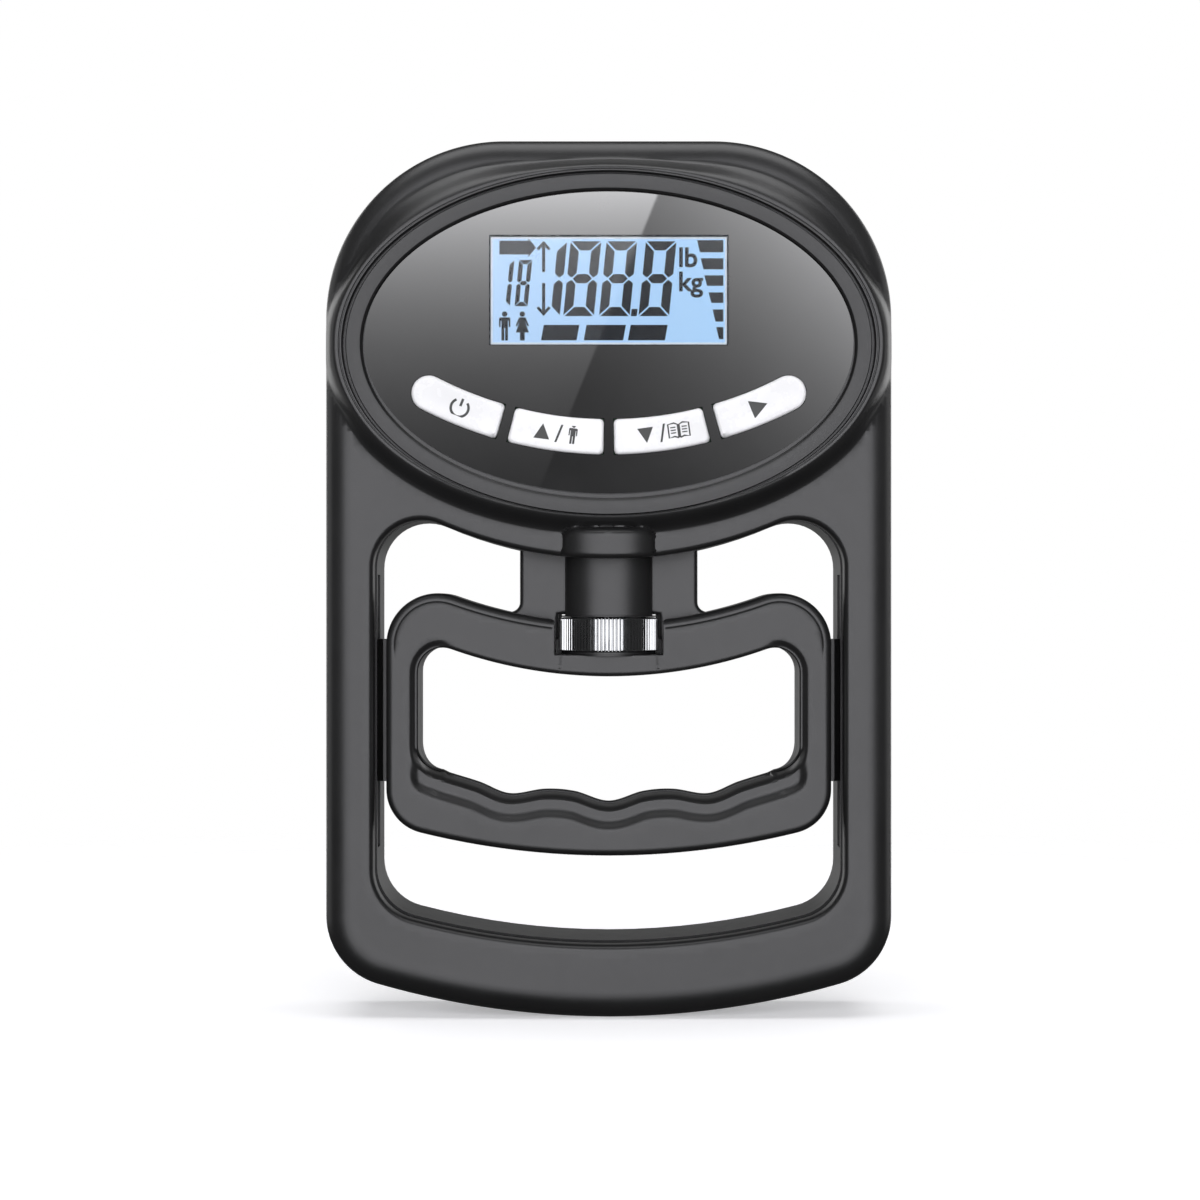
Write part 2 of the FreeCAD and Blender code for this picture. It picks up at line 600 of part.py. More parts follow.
# ---------------------------------------------------------------- handle
def handle_block():
    """Loop, neck, sleeve and guide tongues as one block, before it is split in two."""
    bars = slab(handle_outline(), HANDLE_FRONT, HANDLE_BACK)
    for y in (HANDLE_FRONT, HANDLE_BACK):
        bars = rounded(bars, HANDLE_ROUNDING, lies_on(y))
    bars = bars.cut(slab(loop_outline(), HANDLE_FRONT - 1, HANDLE_BACK + 1))
    for y in (HANDLE_FRONT, HANDLE_BACK):
        bars = rounded(bars, FINGER_ROUNDING, finger_edge(y))
    hollow = slab(handle_outline(HANDLE_WALL), HANDLE_FRONT + HANDLE_WALL, HANDLE_BACK - HANDLE_WALL)
    hollow = hollow.cut(slab(loop_outline(HANDLE_WALL), HANDLE_FRONT, HANDLE_BACK))
    kept = [rod_y(3.2, x, z, HANDLE_FRONT, HANDLE_BACK) for x, z in both_sides(HANDLE_SCREWS)]
    kept.append(block((-NECK_HALF_WIDTH, NECK_HALF_WIDTH), (HANDLE_FRONT, HANDLE_BACK), (70, 100)))
    bars = bars.cut(hollow.cut(fused(kept)))
    neck = block((-NECK_HALF_WIDTH, NECK_HALF_WIDTH), (AXIS_Y - NECK_HALF_DEPTH, AXIS_Y + NECK_HALF_DEPTH),
                 (LOOP_TOP + 2, NECK_TOP))
    sleeve = rod_z(SLEEVE_RADIUS, SLOT_HIGH - 1, NECK_TOP)
    tongues = []
    for side in (-1, 1):
        reach = sorted((side * (HANDLE_HALF_WIDTH - 1.5), side * TONGUE_REACH))
        depth = (AXIS_Y - TONGUE_HALF_DEPTH, AXIS_Y + TONGUE_HALF_DEPTH)
        tongues.append(block(reach, depth, (TONGUE_LOW, TONGUE_HIGH)))
    whole = fused([bars, neck, sleeve] + tongues)
    cuts = [block((-SLOT_HALF_WIDTH, SLOT_HALF_WIDTH), (-20, SLOT_REAR), (SLOT_LOW, SLOT_HIGH))]
    cuts.append(block((-SLOT_REAR_HALF_WIDTH, SLOT_REAR_HALF_WIDTH), (SLOT_REAR - 1, 25),
                      (SLOT_LOW, SLOT_HIGH)))
    cuts.append(rod_z(SLEEVE_BORE, SLOT_HIGH - 1, NECK_TOP + 1))
    cuts.append(rod_z(JOURNAL_RADIUS + RUNNING_GAP, BEARING_LOW, SLOT_LOW + 1))
    for x, z in both_sides(HANDLE_SCREWS):
        cuts.append(rod_y(2.4, x, z, 8.0, HANDLE_BACK + 1))
        cuts.append(rod_y(1.3, x, z, -3.1, 8.0))
    for x, z in both_sides([NECK_SCREW]):
        cuts.append(rod_y(2.2, x, z, 4.4, 7.0))
        cuts.append(rod_y(1.0, x, z, 0.0, 4.4))
    return whole.cut(fused(cuts))


def finger_edge(y):
    """The grooved edge of the finger loop, where it meets the plane at y."""
    on_plane = lies_on(y)

    def test(e):
        box = e.BoundBox
        return on_plane(e) and box.ZMin > 46 and box.ZMax < LOOP_SIDE_LOW + 0.1 and box.XLength > 60
    return test


def make_handle_screws():
    screws = []
    for x, z in both_sides(HANDLE_SCREWS):
        head = rod_y(2.3, x, z, 8.0, 9.6)
        screws.append(head.fuse(rod_y(1.3, x, z, -3.0, 8.0)))
    for x, z in both_sides([NECK_SCREW]):
        head = rod_y(2.1, x, z, 4.4, 5.7)
        screws.append(head.fuse(rod_y(1.0, x, z, 0.1, 4.4)))
    return Part.makeCompound(screws)


def make_case_screws():
    screws = []
    for x, z in both_sides(CASE_SCREWS):
        head = rod_y(2.8, x, z, 8.0, 10.2).cut(rod_y(1.1, x, z, 9.2, 10.3))
        screws.append(head.fuse(rod_y(1.4, x, z, -6.9, 8.0)))
    return Part.makeCompound(screws)


# ---------------------------------------------------------------- batteries
def make_battery(row):
    """Cell lying along X with its raised end to the right in one row, to the left in the other."""
    z = BATTERY_ROWS[row]
    nub = 1 if row == 0 else -1
    can_low, can_high = sorted((-nub * BATTERY_HALF_LENGTH, nub * (BATTERY_HALF_LENGTH - 0.9)))
    can = Part.makeCylinder(BATTERY_RADIUS, can_high - can_low, spot(can_low, BATTERY_Y, z), spot(1, 0, 0))
    start = nub * (BATTERY_HALF_LENGTH - 0.9)
    button = Part.makeCylinder(1.8, 0.9, spot(start, BATTERY_Y, z), spot(nub, 0, 0))
    return can.fuse(button)


def make_battery_springs():
    """One spring sleeve at the flat end of each cell."""
    springs = []
    for row, z in enumerate(BATTERY_ROWS):
        side = -1 if row == 0 else 1
        start = spot(side * BATTERY_HALF_LENGTH, BATTERY_Y, z)
        length = TRAY_HALF_WIDTH - BATTERY_HALF_LENGTH - 0.4
        spring = Part.makeCylinder(3.4, length, start, spot(side, 0, 0))
        springs.append(spring.cut(Part.makeCylinder(2.8, length, start, spot(side, 0, 0))))
    return Part.makeCompound(springs)


def make_battery_plates():
    plates = []
    for side in (-1, 1):
        wall = side * TRAY_HALF_WIDTH
        for row, z in enumerate(BATTERY_ROWS):
            has_spring = side == (-1 if row == 0 else 1)
            inner = wall - side * (0.4 if has_spring else TRAY_HALF_WIDTH - BATTERY_HALF_LENGTH)
            plates.append(block(sorted((inner, wall)), (3.0, 12.0), (z - 4, z + 4)))
    return Part.makeCompound(plates)


def make_battery_leads():
    """Two leads from the tray floor straight to the circuit board."""
    places = [(side * 21, z) for side, z in zip((-1, 1), BATTERY_ROWS)]
    return Part.makeCompound([rod_y(0.6, x, z, BOARD_BACK, TRAY_FLOOR - 1) for x, z in places])


def rod_x(radius, start, length):
    """Cylinder along X on the door's hinge axis."""
    return Part.makeCylinder(radius, length, spot(start, DOOR_AXIS_Y, DOOR_AXIS_Z), spot(1, 0, 0))


def hinge_pins(radius, start, length):
    return [rod_x(radius, start, length), rod_x(radius, -start - length, length)]


def make_battery_door():
    """Flush cover, hinged at its rounded lower edge, with a finger notch at its upper edge."""
    half = DOOR_HALF_WIDTH - DOOR_GAP
    door = block((-half, half), (DOOR_INNER, DOOR_OUTER), (DOOR_AXIS_Z, DOOR_HIGH - DOOR_GAP))
    barrel = rod_x(DOOR_HALF_THICKNESS, -half, 2 * half)
    notch = rod_y(5.0, 0, DOOR_HIGH + 1.5, DOOR_OUTER - 1.0, DOOR_OUTER + 1)
    return fused([door, barrel] + hinge_pins(HINGE_PIN_RADIUS, half, HINGE_PIN_LENGTH)).cut(notch)


def halves(whole, plane):
    front = whole.common(block((-70, 70), (-20, plane), (-1, 200)))
    back = whole.common(block((-70, 70), (plane, 20), (-1, 200)))
    return front, back


def main():
    os.makedirs("parts", exist_ok=True)
    shell = case_block()
    handle_front, handle_rear = halves(handle_block(), AXIS_Y)
    nodes = {
        "front_case": make_front_case(shell),
        "rear_case": make_rear_case(shell),
        "bezel_ring": make_bezel_ring(),
        "face_panel": make_face_panel(),
        "display_window": display_opening(FIT),
        "lcd_glass": make_lcd_glass(),
        "lcd_backlight": make_lcd_backlight(),
        "lcd_connector_strip": make_lcd_connector_strip(),
        "main_board": make_main_board(),
        "key_switches": make_key_switches(),
        "board_screws": make_board_screws(),
        "load_cell": make_load_cell(),
        "strain_gauges": make_strain_gauges(),
        "load_cell_screws": make_load_cell_screws(),
        "load_cell_leads": make_load_cell_leads(),
        "nut_tube": make_nut_tube(),
        "nut_tube_screws": make_nut_tube_screws(),
        "battery_lower": make_battery(0),
        "battery_upper": make_battery(1),
        "battery_springs": make_battery_springs(),
        "battery_plates": make_battery_plates(),
        "battery_leads": make_battery_leads(),
        "battery_door": make_battery_door(),
        "case_screws": make_case_screws(),
        "handle_front": handle_front,
        "handle_rear": handle_rear,
        "handle_screws": make_handle_screws(),
        "adjust_wheel": make_adjust_wheel(),
        "adjust_screw": make_adjust_screw(),
        "thrust_washers": make_thrust_washers(),
    }
    nodes.update({key: make_key(key) for key in KEYS})
    for name, shape in nodes.items():
        shape.exportStep(os.path.join("parts", name + ".step"))
        print(name, "solids", len(shape.Solids), "valid", shape.isValid(), "volume", round(shape.Volume, 1))


main()
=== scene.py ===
import json
import math
import bpy
import bmesh
import numpy as np
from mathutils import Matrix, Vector
from mathutils.geometry import delaunay_2d_cdt
from mathutils.kdtree import KDTree


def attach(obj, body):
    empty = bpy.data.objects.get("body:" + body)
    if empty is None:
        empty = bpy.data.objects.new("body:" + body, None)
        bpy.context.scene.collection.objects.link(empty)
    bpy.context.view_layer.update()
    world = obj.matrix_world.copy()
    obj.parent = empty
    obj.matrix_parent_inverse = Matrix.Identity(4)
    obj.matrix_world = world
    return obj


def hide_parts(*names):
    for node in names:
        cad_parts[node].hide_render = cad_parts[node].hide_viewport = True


# Hand dynamometer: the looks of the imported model. Lengths below are millimetres in the CAD
# frame (X right, the face looks along -Y, Z up); MM turns them into Blender's metres.

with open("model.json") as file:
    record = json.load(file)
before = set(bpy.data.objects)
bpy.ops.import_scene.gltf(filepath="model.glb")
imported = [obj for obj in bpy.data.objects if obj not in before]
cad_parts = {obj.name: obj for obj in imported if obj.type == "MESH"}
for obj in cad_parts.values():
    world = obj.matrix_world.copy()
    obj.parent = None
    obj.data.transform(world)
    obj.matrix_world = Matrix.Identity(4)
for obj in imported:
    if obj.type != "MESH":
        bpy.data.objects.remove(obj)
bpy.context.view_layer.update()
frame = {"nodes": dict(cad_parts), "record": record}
nodes = frame["nodes"]
MM = 0.001

# ---- outer frame
CASE_HALF_WIDTH = 63.0
CASE_HEIGHT = 195.0
CASE_TOP_CORNER = 39.7
CASE_BASE_RADIUS = 186.0
CASE_BASE_CORNER = 16.0
FACE = -10.0
PARTING = -2.0
EDGE_ROUNDING = (6.2, 4.7)       # width and depth of the rounded outer edge
WALL = 2.2
WINDOW = dict(half_width=52.0, top=101.9, top_radius=94.5, top_corner=10.4,
              low=16.5, low_radius=171.7, low_corner=11.3)
WINDOW_ROUNDING = (1.2, 1.9)
GROOVES = ((0.3, 0.3), (4.4, 2.0))      # width and depth of the case's parting line: outside, in the window
PARTING_GROOVE = 0.2                    # width and depth of the handle's parting line

# ---- elliptical head
HEAD_Z = 148.9
PANEL_A = 53.1
PANEL_B = 32.8
RIM_START = 4.6         # growth where the rim starts; it is thinner at the top and nearly gone at the foot
RIM_THIN = (0.35, 0.85)
CREST = 6.65            # growth from the panel's edge to the rim's crest
RAISE = 5.0             # height of the crest above the face plane
LEDGE_Y = -13.0         # seat of the bezel ring
SEAT_Y = -12.4          # seat of the panel
RIM_PROFILE = [(5.25, 4.2), (5.35, 4.7), (5.5, 4.86), (5.75, 4.88), (5.9, 4.6), (6.05, 4.6),
               (6.2, 4.9), (CREST, RAISE)]
RING_PROFILE = [(4.6, -13.0), (4.6, -14.2), (4.4, -14.5), (2.0, -14.6), (1.45, -14.45), (1.05, -14.0),
                (0.9, -13.0)]
HOOD_HALF_WIDTH = 10.25
HOOD_TOP = 109.3
HOOD_CORNER = 3.0
HOOD_BULGE = 4.8

# ---- handle
AXIS_Y = 2.5
HANDLE_FRONT = -6.0
HANDLE = dict(half_width=49.7, top=87.7, top_radius=102.0, top_corner=11.5,
              low=35.7, low_radius=175.0, low_corner=10.0)
HANDLE_ROUNDING = (1.7, 1.7)
LOOP = dict(half_width=42.6, top=75.75, radius=105.0, corner=5.5)
LOOP_FOOT = 60.4        # where the loop's side turns into the finger bar's crest
LOOP_FOOT_CORNER = 6.0
FINGER_CREST = [(36.0, 53.8), (29.2, 51.7), (22.4, 49.1), (14.5, 50.1), (7.7, 49.6), (0.0, 47.4)]
LIP_INSET = 2.0         # fine groove inside the top edge
LOOP_EDGE = (1.9, 0.5)  # start and end of the step round the loop, from the loop's edge
LOOP_DROP = 1.15        # height of that step
VALLEY = (6.3, 3.5)     # start and end of the soft step in the finger bar, from the loop's edge
VALLEY_DROP = 1.3
ROLL = (2.1, 0.55)      # start and end of the roll from the finger bar back to its crest
FINGER_DROP = 6.0       # depth over which the finger bar rolls back to its crest
NOTCH_HALF_WIDTH = 12.0
NOTCH_SHOULDER = 1.2
NECK_CUT = 11.4         # half width of the cut-out for the wheel in the neck plate
NOTCH_ROUNDING = (0.3, 0.3)
NOTCH_REAR = (9.8, 8.2)  # half width of the notch behind the wheel, and the plane where it starts
NOTCH_Z = 80.6
SLEEVE_RADIUS = 9.8
SLEEVE_BORE = 6.8
SLEEVE_Z = (89.55, 123.0)
SLEEVE_FRONT = (9.85, 6.4)      # half axes of the sleeve's front, which swells out of the neck plate
PASSAGE_GAP = (0.6, 0.5)        # how much wider and deeper the case's passage for the sleeve is
NECK_HALF_WIDTH = 20.0
NECK_HALF_DEPTH = 3.5
NECK_TOP = 123.0
NECK_FLARE = 2.2
NECK_ROUNDING = (1.1, 1.1)

# ---- wheel and keys
WHEEL_RADIUS = 11.15
WHEEL_BORE = 4.05
WHEEL_Z = (81.2, 88.9)
WHEEL_TEETH = 84
TOOTH_DEPTH = 0.45
KEY_CENTRE_Z = 214.6
KEY_RADII = (82.1, 89.9)
KEY_CORNER = 0.9
KEY_FRONT = -14.2
KEY_ROUNDING = (0.75, 0.75)
MARK_SCALE = 1.35

# ---- camera and light
CAMERA_PLACE = (0.0, -0.517, 0.0928)    # metres
LENS = 68.85
CAMERA_SHIFT = -0.0073
SURROUND = 0.06         # dim grey world that only the object sees
CARD_Y = -1.5           # glowing card behind the camera
CARD_HALF = 0.95
CARD_RISE = 0.2
CARD_GLOW = 3.1
SHEEN_HEAD = (11.2, 183.0)      # slanted edge of the reflection in the panel, top and foot
SHEEN_FOOT = (-15.2, 117.3)
SHEEN_LEFT = dict(glow=12.6, at=(0.0, 180.9), across=0.0, up=0.0506)
SHEEN_RIGHT = dict(glow=3.85, at=(9.3, 177.6), across=0.028, up=0.0335)
SHEEN_LEAST = 0.38
PATTERN_REACH = (0.235, 0.150)  # half axes of the part of the card that the panel mirrors
FLOOR_GLOW = 0.36
FLOOR_FADE = (0.16, 0.42)       # metres from the object where the floor starts and ends to fade

# ---- display
LCD_X = (-26.25, 26.25)
LCD_Z = (148.7, 172.9)
LCD_Y = -12.31          # the marks are laid on the glass at this depth
MARK_THICKNESS = 0.05
PERSON_PITCH = 3.885
LCD_SLANT = 0.10        # lean of the digits, as a share of their height
LCD_LIGHT = (0.46, 0.66, 0.93)
LCD_DEEP = (0.386, 0.631, 0.93)


# ==== materials
class Look:
    """A node material built up one node at a time."""

    def __init__(self, name):
        self.material = bpy.data.materials.new(name)
        self.material.use_nodes = True
        self.tree = self.material.node_tree
        self.shader = self.tree.nodes["Principled BSDF"]
        self.output = self.tree.nodes["Material Output"]
        self.place = self.node("TexCoord").outputs["Object"]

    def node(self, kind, inputs=None, **settings):
        made = self.tree.nodes.new("ShaderNode" + kind)
        for key, value in settings.items():
            setattr(made, key, value)
        for key, value in (inputs or {}).items():
            self.feed(made.inputs[key], value)
        return made

    def feed(self, socket, value):
        if isinstance(value, bpy.types.NodeSocket):
            self.tree.links.new(value, socket)
        else:
            socket.default_value = value

    def set(self, **values):
        for key, value in values.items():
            self.feed(self.shader.inputs[key.replace("_", " ")], value)
        return self

    def noise(self, scale, detail=4.0, stretch=(1.0, 1.0, 1.0)):
        place = self.node("Mapping", {"Vector": self.place, "Scale": stretch}).outputs["Vector"]
        settings = {"Vector": place, "Scale": scale, "Detail": detail, "Roughness": 0.6}
        return self.node("TexNoise", settings).outputs["Fac"]

    def ranged(self, value, low=0.0, high=1.0, source=(0.35, 0.65)):
        ends = {"From Min": source[0], "From Max": source[1], "To Min": low, "To Max": high}
        return self.node("MapRange", {"Value": value, **ends}).outputs["Result"]

    def maths(self, operation, *values):
        made = self.node("Math", operation=operation)
        for socket, value in zip(made.inputs, values):
            self.feed(socket, value)
        return made.outputs["Value"]

    def slope(self, value, start, rate):
        return self.maths("MULTIPLY", self.maths("SUBTRACT", value, start), rate)

    def between(self, share, first, second):
        return self.maths("ADD", first, self.maths("MULTIPLY", share, self.maths("SUBTRACT", second, first)))

    def blend(self, factor, first, second):
        made = self.node("Mix", data_type="RGBA")
        sockets = [socket for socket in made.inputs if socket.enabled]
        for socket, value in zip(sockets, (factor, first, second)):
            self.feed(socket, value)
        return [socket for socket in made.outputs if socket.enabled][0]

    def bump(self, height, distance):
        made = self.node("Bump", {"Height": height, "Distance": distance})
        self.feed(self.shader.inputs["Normal"], made.outputs["Normal"])
        return self

    def mix_shaders(self, factor, first, second):
        made = self.node("MixShader", {0: factor, 1: first.outputs["BSDF"], 2: second.outputs["BSDF"]})
        self.feed(self.output.inputs["Surface"], made.outputs["Shader"])
        return self.material


def rgb(red, green, blue):
    return (red, green, blue, 1.0)


def grey(value):
    return rgb(value, value, value * 1.02)


def moulded_plastic(name, shade, roughness, grain=0.01, level=0.5):
    """Moulded plastic: faint spark-eroded grain, slow shade drift, uneven sheen."""
    look = Look(name)
    drift = look.noise(35.0, 3.0)
    cloud = look.noise(420.0, 3.0)
    fine = look.noise(5200.0, 2.0)
    colour = look.blend(look.ranged(drift), grey(shade * 0.92), grey(shade * 1.08))
    sheen = look.maths("ADD", look.ranged(drift, -0.02, 0.02), look.ranged(cloud, -0.012, 0.012))
    look.set(Base_Color=colour, Roughness=look.maths("ADD", sheen, roughness), IOR=1.5,
             Specular_IOR_Level=level, Specular_Tint=grey(1.0))
    return look.bump(fine, grain * MM).material


def metal(name, colour, roughness, stretch=(1.0, 1.0, 0.06), marks=0.002):
    """Machined or plated metal with fine tool marks and slight stains."""
    look = Look(name)
    lines = look.noise(3600.0, 3.0, stretch)
    stain = look.noise(150.0)
    dark = rgb(*[part * 0.84 for part in colour])
    look.set(Base_Color=look.blend(look.ranged(stain), dark, rgb(*colour)), Metallic=1.0,
             Roughness=look.ranged(lines, roughness * 0.75, roughness * 1.3))
    return look.bump(lines, marks * MM).material


def gloss_panel(name):
    """Back-printed black panel: mirror-smooth, with a trace of dust and handling marks."""
    look = Look(name)
    smudge = look.noise(60.0, 5.0)
    dust = look.noise(2600.0, 2.0)
    look.set(Base_Color=look.blend(look.ranged(smudge), grey(0.010), grey(0.014)), IOR=1.5,
             Roughness=look.maths("ADD", look.ranged(smudge, 0.0, 0.02), look.ranged(dust, 0.0, 0.01)))
    return look.bump(smudge, 0.0002 * MM).material


def clear_window(name):
    """Thin clear cover: sees through, with sharp reflections that grow at a slant."""
    look = Look(name)
    haze = look.ranged(look.noise(90.0), 0.0, 0.02)
    clear = look.node("BsdfTransparent", {"Color": rgb(0.97, 0.98, 0.99)})
    gloss = look.node("BsdfAnisotropic", {"Color": grey(1.0), "Roughness": haze})
    slant = look.node("LayerWeight", {"Blend": 0.5}).outputs["Facing"]
    mirror = look.maths("ADD", look.maths("POWER", slant, 5.0), 0.01)
    return look.mix_shaders(mirror, clear, gloss)


def lit_display(name):
    """Backlit display glass: pale blue, lighter towards its left end, with a faint cell grain."""
    look = Look(name)
    across = look.node("SeparateXYZ", {"Vector": look.place}).outputs["X"]
    fade = look.ranged(across, source=(LCD_X[0] * MM, LCD_X[1] * MM))
    cells = look.ranged(look.noise(2400.0, 1.0), 0.97, 1.0)
    colour = look.blend(fade, rgb(*LCD_LIGHT), rgb(*LCD_DEEP))
    look.set(Base_Color=rgb(0.02, 0.02, 0.02), Roughness=0.25, Specular_IOR_Level=0.0, Emission_Color=colour,
             Emission_Strength=cells)
    return look.material


def display_ink(name):
    """Dark display element, slightly see-through blue where the cell is thin."""
    look = Look(name)
    patch = look.ranged(look.noise(300.0, 2.0))
    look.set(Base_Color=look.blend(patch, rgb(0.006, 0.007, 0.009), rgb(0.012, 0.014, 0.018)), Roughness=0.35,
             Specular_IOR_Level=0.0)
    return look.material


def board_green(name):
    """Solder mask with pale copper tracks under it."""
    look = Look(name)
    cells = look.node("TexBrick", {"Vector": look.place, "Scale": 180.0, "Mortar Size": 0.03})
    tracks = look.ranged(cells.outputs["Fac"], source=(0.0, 1.0))
    look.set(Base_Color=look.blend(tracks, rgb(0.01, 0.09, 0.03), rgb(0.03, 0.2, 0.07)), Roughness=0.35)
    return look.bump(tracks, 0.03 * MM).material


def tinted(name, first, second, roughness, scale=260.0):
    """Film, rubber, sleeve or insulation: two close shades in soft patches over a fine texture."""
    look = Look(name)
    patch = look.noise(scale, 3.0)
    fine = look.noise(scale * 12, 2.0)
    look.set(Base_Color=look.blend(look.ranged(patch), rgb(*first), rgb(*second)),
             Roughness=look.ranged(patch, roughness - 0.04, roughness + 0.05))
    return look.bump(fine, 0.004 * MM).material


def make_materials():
    """A material for each slot of the record, and for the display's and the keys' marks."""
    across = (0.05, 0.05, 1.0)
    recipes = {
        "case_plastic": (moulded_plastic, 0.014, 0.36),
        "handle_plastic": (moulded_plastic, 0.014, 0.36),
        "ring_plastic": (moulded_plastic, 0.012, 0.34, 0.01, 0.42),
        "key_white": (moulded_plastic, 0.8, 0.28, 0.003),
        "panel_gloss": (gloss_panel,),
        "clear_window": (clear_window,),
        "lcd_glass": (lit_display,),
        "lcd_ink": (display_ink,),
        "circuit_board": (board_green,),
        "lcd_frame": (tinted, (0.55, 0.6, 0.66), (0.62, 0.68, 0.74), 0.3),
        "light_guide": (tinted, (0.7, 0.74, 0.78), (0.78, 0.82, 0.86), 0.2),
        "elastomer": (tinted, (0.35, 0.33, 0.3), (0.42, 0.4, 0.36), 0.6),
        "gauge_film": (tinted, (0.55, 0.3, 0.06), (0.62, 0.36, 0.08), 0.35),
        "lead_insulation": (tinted, (0.5, 0.04, 0.03), (0.58, 0.06, 0.04), 0.45),
        "battery_sleeve": (tinted, (0.02, 0.06, 0.16), (0.03, 0.08, 0.2), 0.25, 90.0),
        "washer_plastic": (tinted, (0.008, 0.008, 0.009), (0.014, 0.014, 0.015), 0.4),
        "key_ink": (tinted, (0.006, 0.006, 0.007), (0.012, 0.012, 0.013), 0.4),
        "switch_metal": (metal, (0.7, 0.7, 0.68), 0.3),
        "steel": (metal, (0.6, 0.6, 0.62), 0.28, across),
        "load_cell_alloy": (metal, (0.75, 0.76, 0.78), 0.35, across),
        "brass": (metal, (0.78, 0.57, 0.25), 0.25, across),
        "nickel_spring": (metal, (0.72, 0.7, 0.66), 0.25),
        "screw_black": (metal, (0.05, 0.05, 0.055), 0.32, across),
        "wheel_chrome": (metal, (0.5, 0.505, 0.515), 0.10, (1.0, 1.0, 0.06), 0.0008),
    }
    return {name: make(name, *values) for name, (make, *values) in recipes.items()}


# ==== outlines, as (x, z) points
def arc_points(x, z, radius, start, end, step=0.9):
    count = max(3, int(abs(math.radians(end - start)) * radius / step) + 1)
    turns = [math.radians(start + (end - start) * i / count) for i in range(count + 1)]
    return [(x + radius * math.cos(turn), z + radius * math.sin(turn)) for turn in turns]


def spaced(points, step=1.1, closed=True):
    """Add points along the long stretches of a line."""
    out = []
    ends = points[1:] + points[:1] if closed else points[1:]
    for (x0, z0), (x1, z1) in zip(points, ends):
        count = max(1, round(math.hypot(x1 - x0, z1 - z0) / step))
        out += [(x0 + (x1 - x0) * i / count, z0 + (z1 - z0) * i / count) for i in range(count)]
    return out if closed else out + [points[-1]]


def both_halves(half):
    """Close a right-hand half outline, given from top to bottom, with its mirror image."""
    loop = half + [(-x, z) for x, z in reversed(half) if x > 1e-6]
    kept = [p for p, q in zip(loop, loop[1:] + loop[:1]) if math.dist(p, q) > 1e-3]
    return spaced(kept)


def curve_through(points, count=12):
    """Smooth line (Catmull-Rom) through the points, which ends level at the middle, x = 0."""
    ends = [points[0]] + points + [(-points[-2][0], points[-2][1])]
    out = []
    for p0, p1, p2, p3 in zip(ends, ends[1:], ends[2:], ends[3:]):
        for i in range(count):
            t = i / count
            weights = (-t + 2 * t * t - t ** 3, 2 - 5 * t * t + 3 * t ** 3,
                       t + 4 * t * t - 3 * t ** 3, -t * t + t ** 3)
            out.append(tuple(sum(w * p[k] for w, p in zip(weights, (p0, p1, p2, p3))) / 2 for k in (0, 1)))
    return out + [points[-1]]


def base_points(half_width, low, radius, corner):
    """Right half of an edge that bulges downwards, from the side line to the middle."""
    centre = low + radius
    corner_x = half_width - corner
    corner_z = centre - math.sqrt((radius - corner) ** 2 - corner_x ** 2)
    lean = math.degrees(math.atan2(corner_z - centre, corner_x))
    return arc_points(corner_x, corner_z, corner, 0, lean) + arc_points(0, centre, radius, lean, -90)


def crown_points(half_width, top, radius, corner):
    """Right half of a top edge that dips in the middle, and its corner."""
    centre = top + radius
    corner_x = half_width - corner
    corner_z = centre - math.sqrt((radius + corner) ** 2 - corner_x ** 2)
    lean = math.degrees(math.atan2(corner_z - centre, corner_x))
    return arc_points(0, centre, radius, -90, lean) + arc_points(corner_x, corner_z, corner, 180 + lean, 0)


def case_loop():
    half = [(0.0, CASE_HEIGHT)]
    corner = CASE_TOP_CORNER
    half += arc_points(CASE_HALF_WIDTH - corner, CASE_HEIGHT - corner, corner, 90, 0)
    return both_halves(half + base_points(CASE_HALF_WIDTH, 0.0, CASE_BASE_RADIUS, CASE_BASE_CORNER))


def cradle_halves(half_width, top, top_radius, top_corner, low, low_radius, low_corner):
    return (crown_points(half_width, top, top_radius, top_corner),
            base_points(half_width, low, low_radius, low_corner))


def loop_opening():
    """The finger loop at the handle's middle plane, with the waved crest of the finger bar."""
    half = crown_points(LOOP["half_width"], LOOP["top"], LOOP["radius"], LOOP["corner"])
    half += arc_points(LOOP["half_width"] - LOOP_FOOT_CORNER, LOOP_FOOT, LOOP_FOOT_CORNER, 0, -82, 0.5)
    return both_halves(half + curve_through(FINGER_CREST))


def rim_share(turns):
    """How much of its full width the rim keeps in each direction round the head."""
    rise = np.sin(turns)
    return 1 - RIM_THIN[0] * np.clip(rise, 0, 1) ** 2 - RIM_THIN[1] * np.clip(-rise, 0, 1) ** 2


def head_loop(growth, count=360):
    turns = 2 * math.pi * np.arange(count) / count
    grown = min(growth, RIM_START) + max(growth - RIM_START, 0) * rim_share(turns)
    x, z = (PANEL_A + grown) * np.cos(turns), HEAD_Z + (PANEL_B + grown) * np.sin(turns)
    return list(zip(x.tolist(), z.tolist()))


def head_growth(points):
    """Growth of the head's outline that passes through each point, by halving."""
    x, z = points[:, 0], points[:, 1] - HEAD_Z
    low, high = np.full(len(x), -30.0), np.full(len(x), 170.0)
    for _ in range(32):
        middle = (low + high) / 2
        outside = (x / (PANEL_A + middle)) ** 2 + (z / (PANEL_B + middle)) ** 2 > 1
        low, high = np.where(outside, middle, low), np.where(outside, high, middle)
    turns = np.arctan2(z / (PANEL_B + low), x / (PANEL_A + low))
    return np.where(low > RIM_START, RIM_START + (low - RIM_START) / rim_share(turns), low)


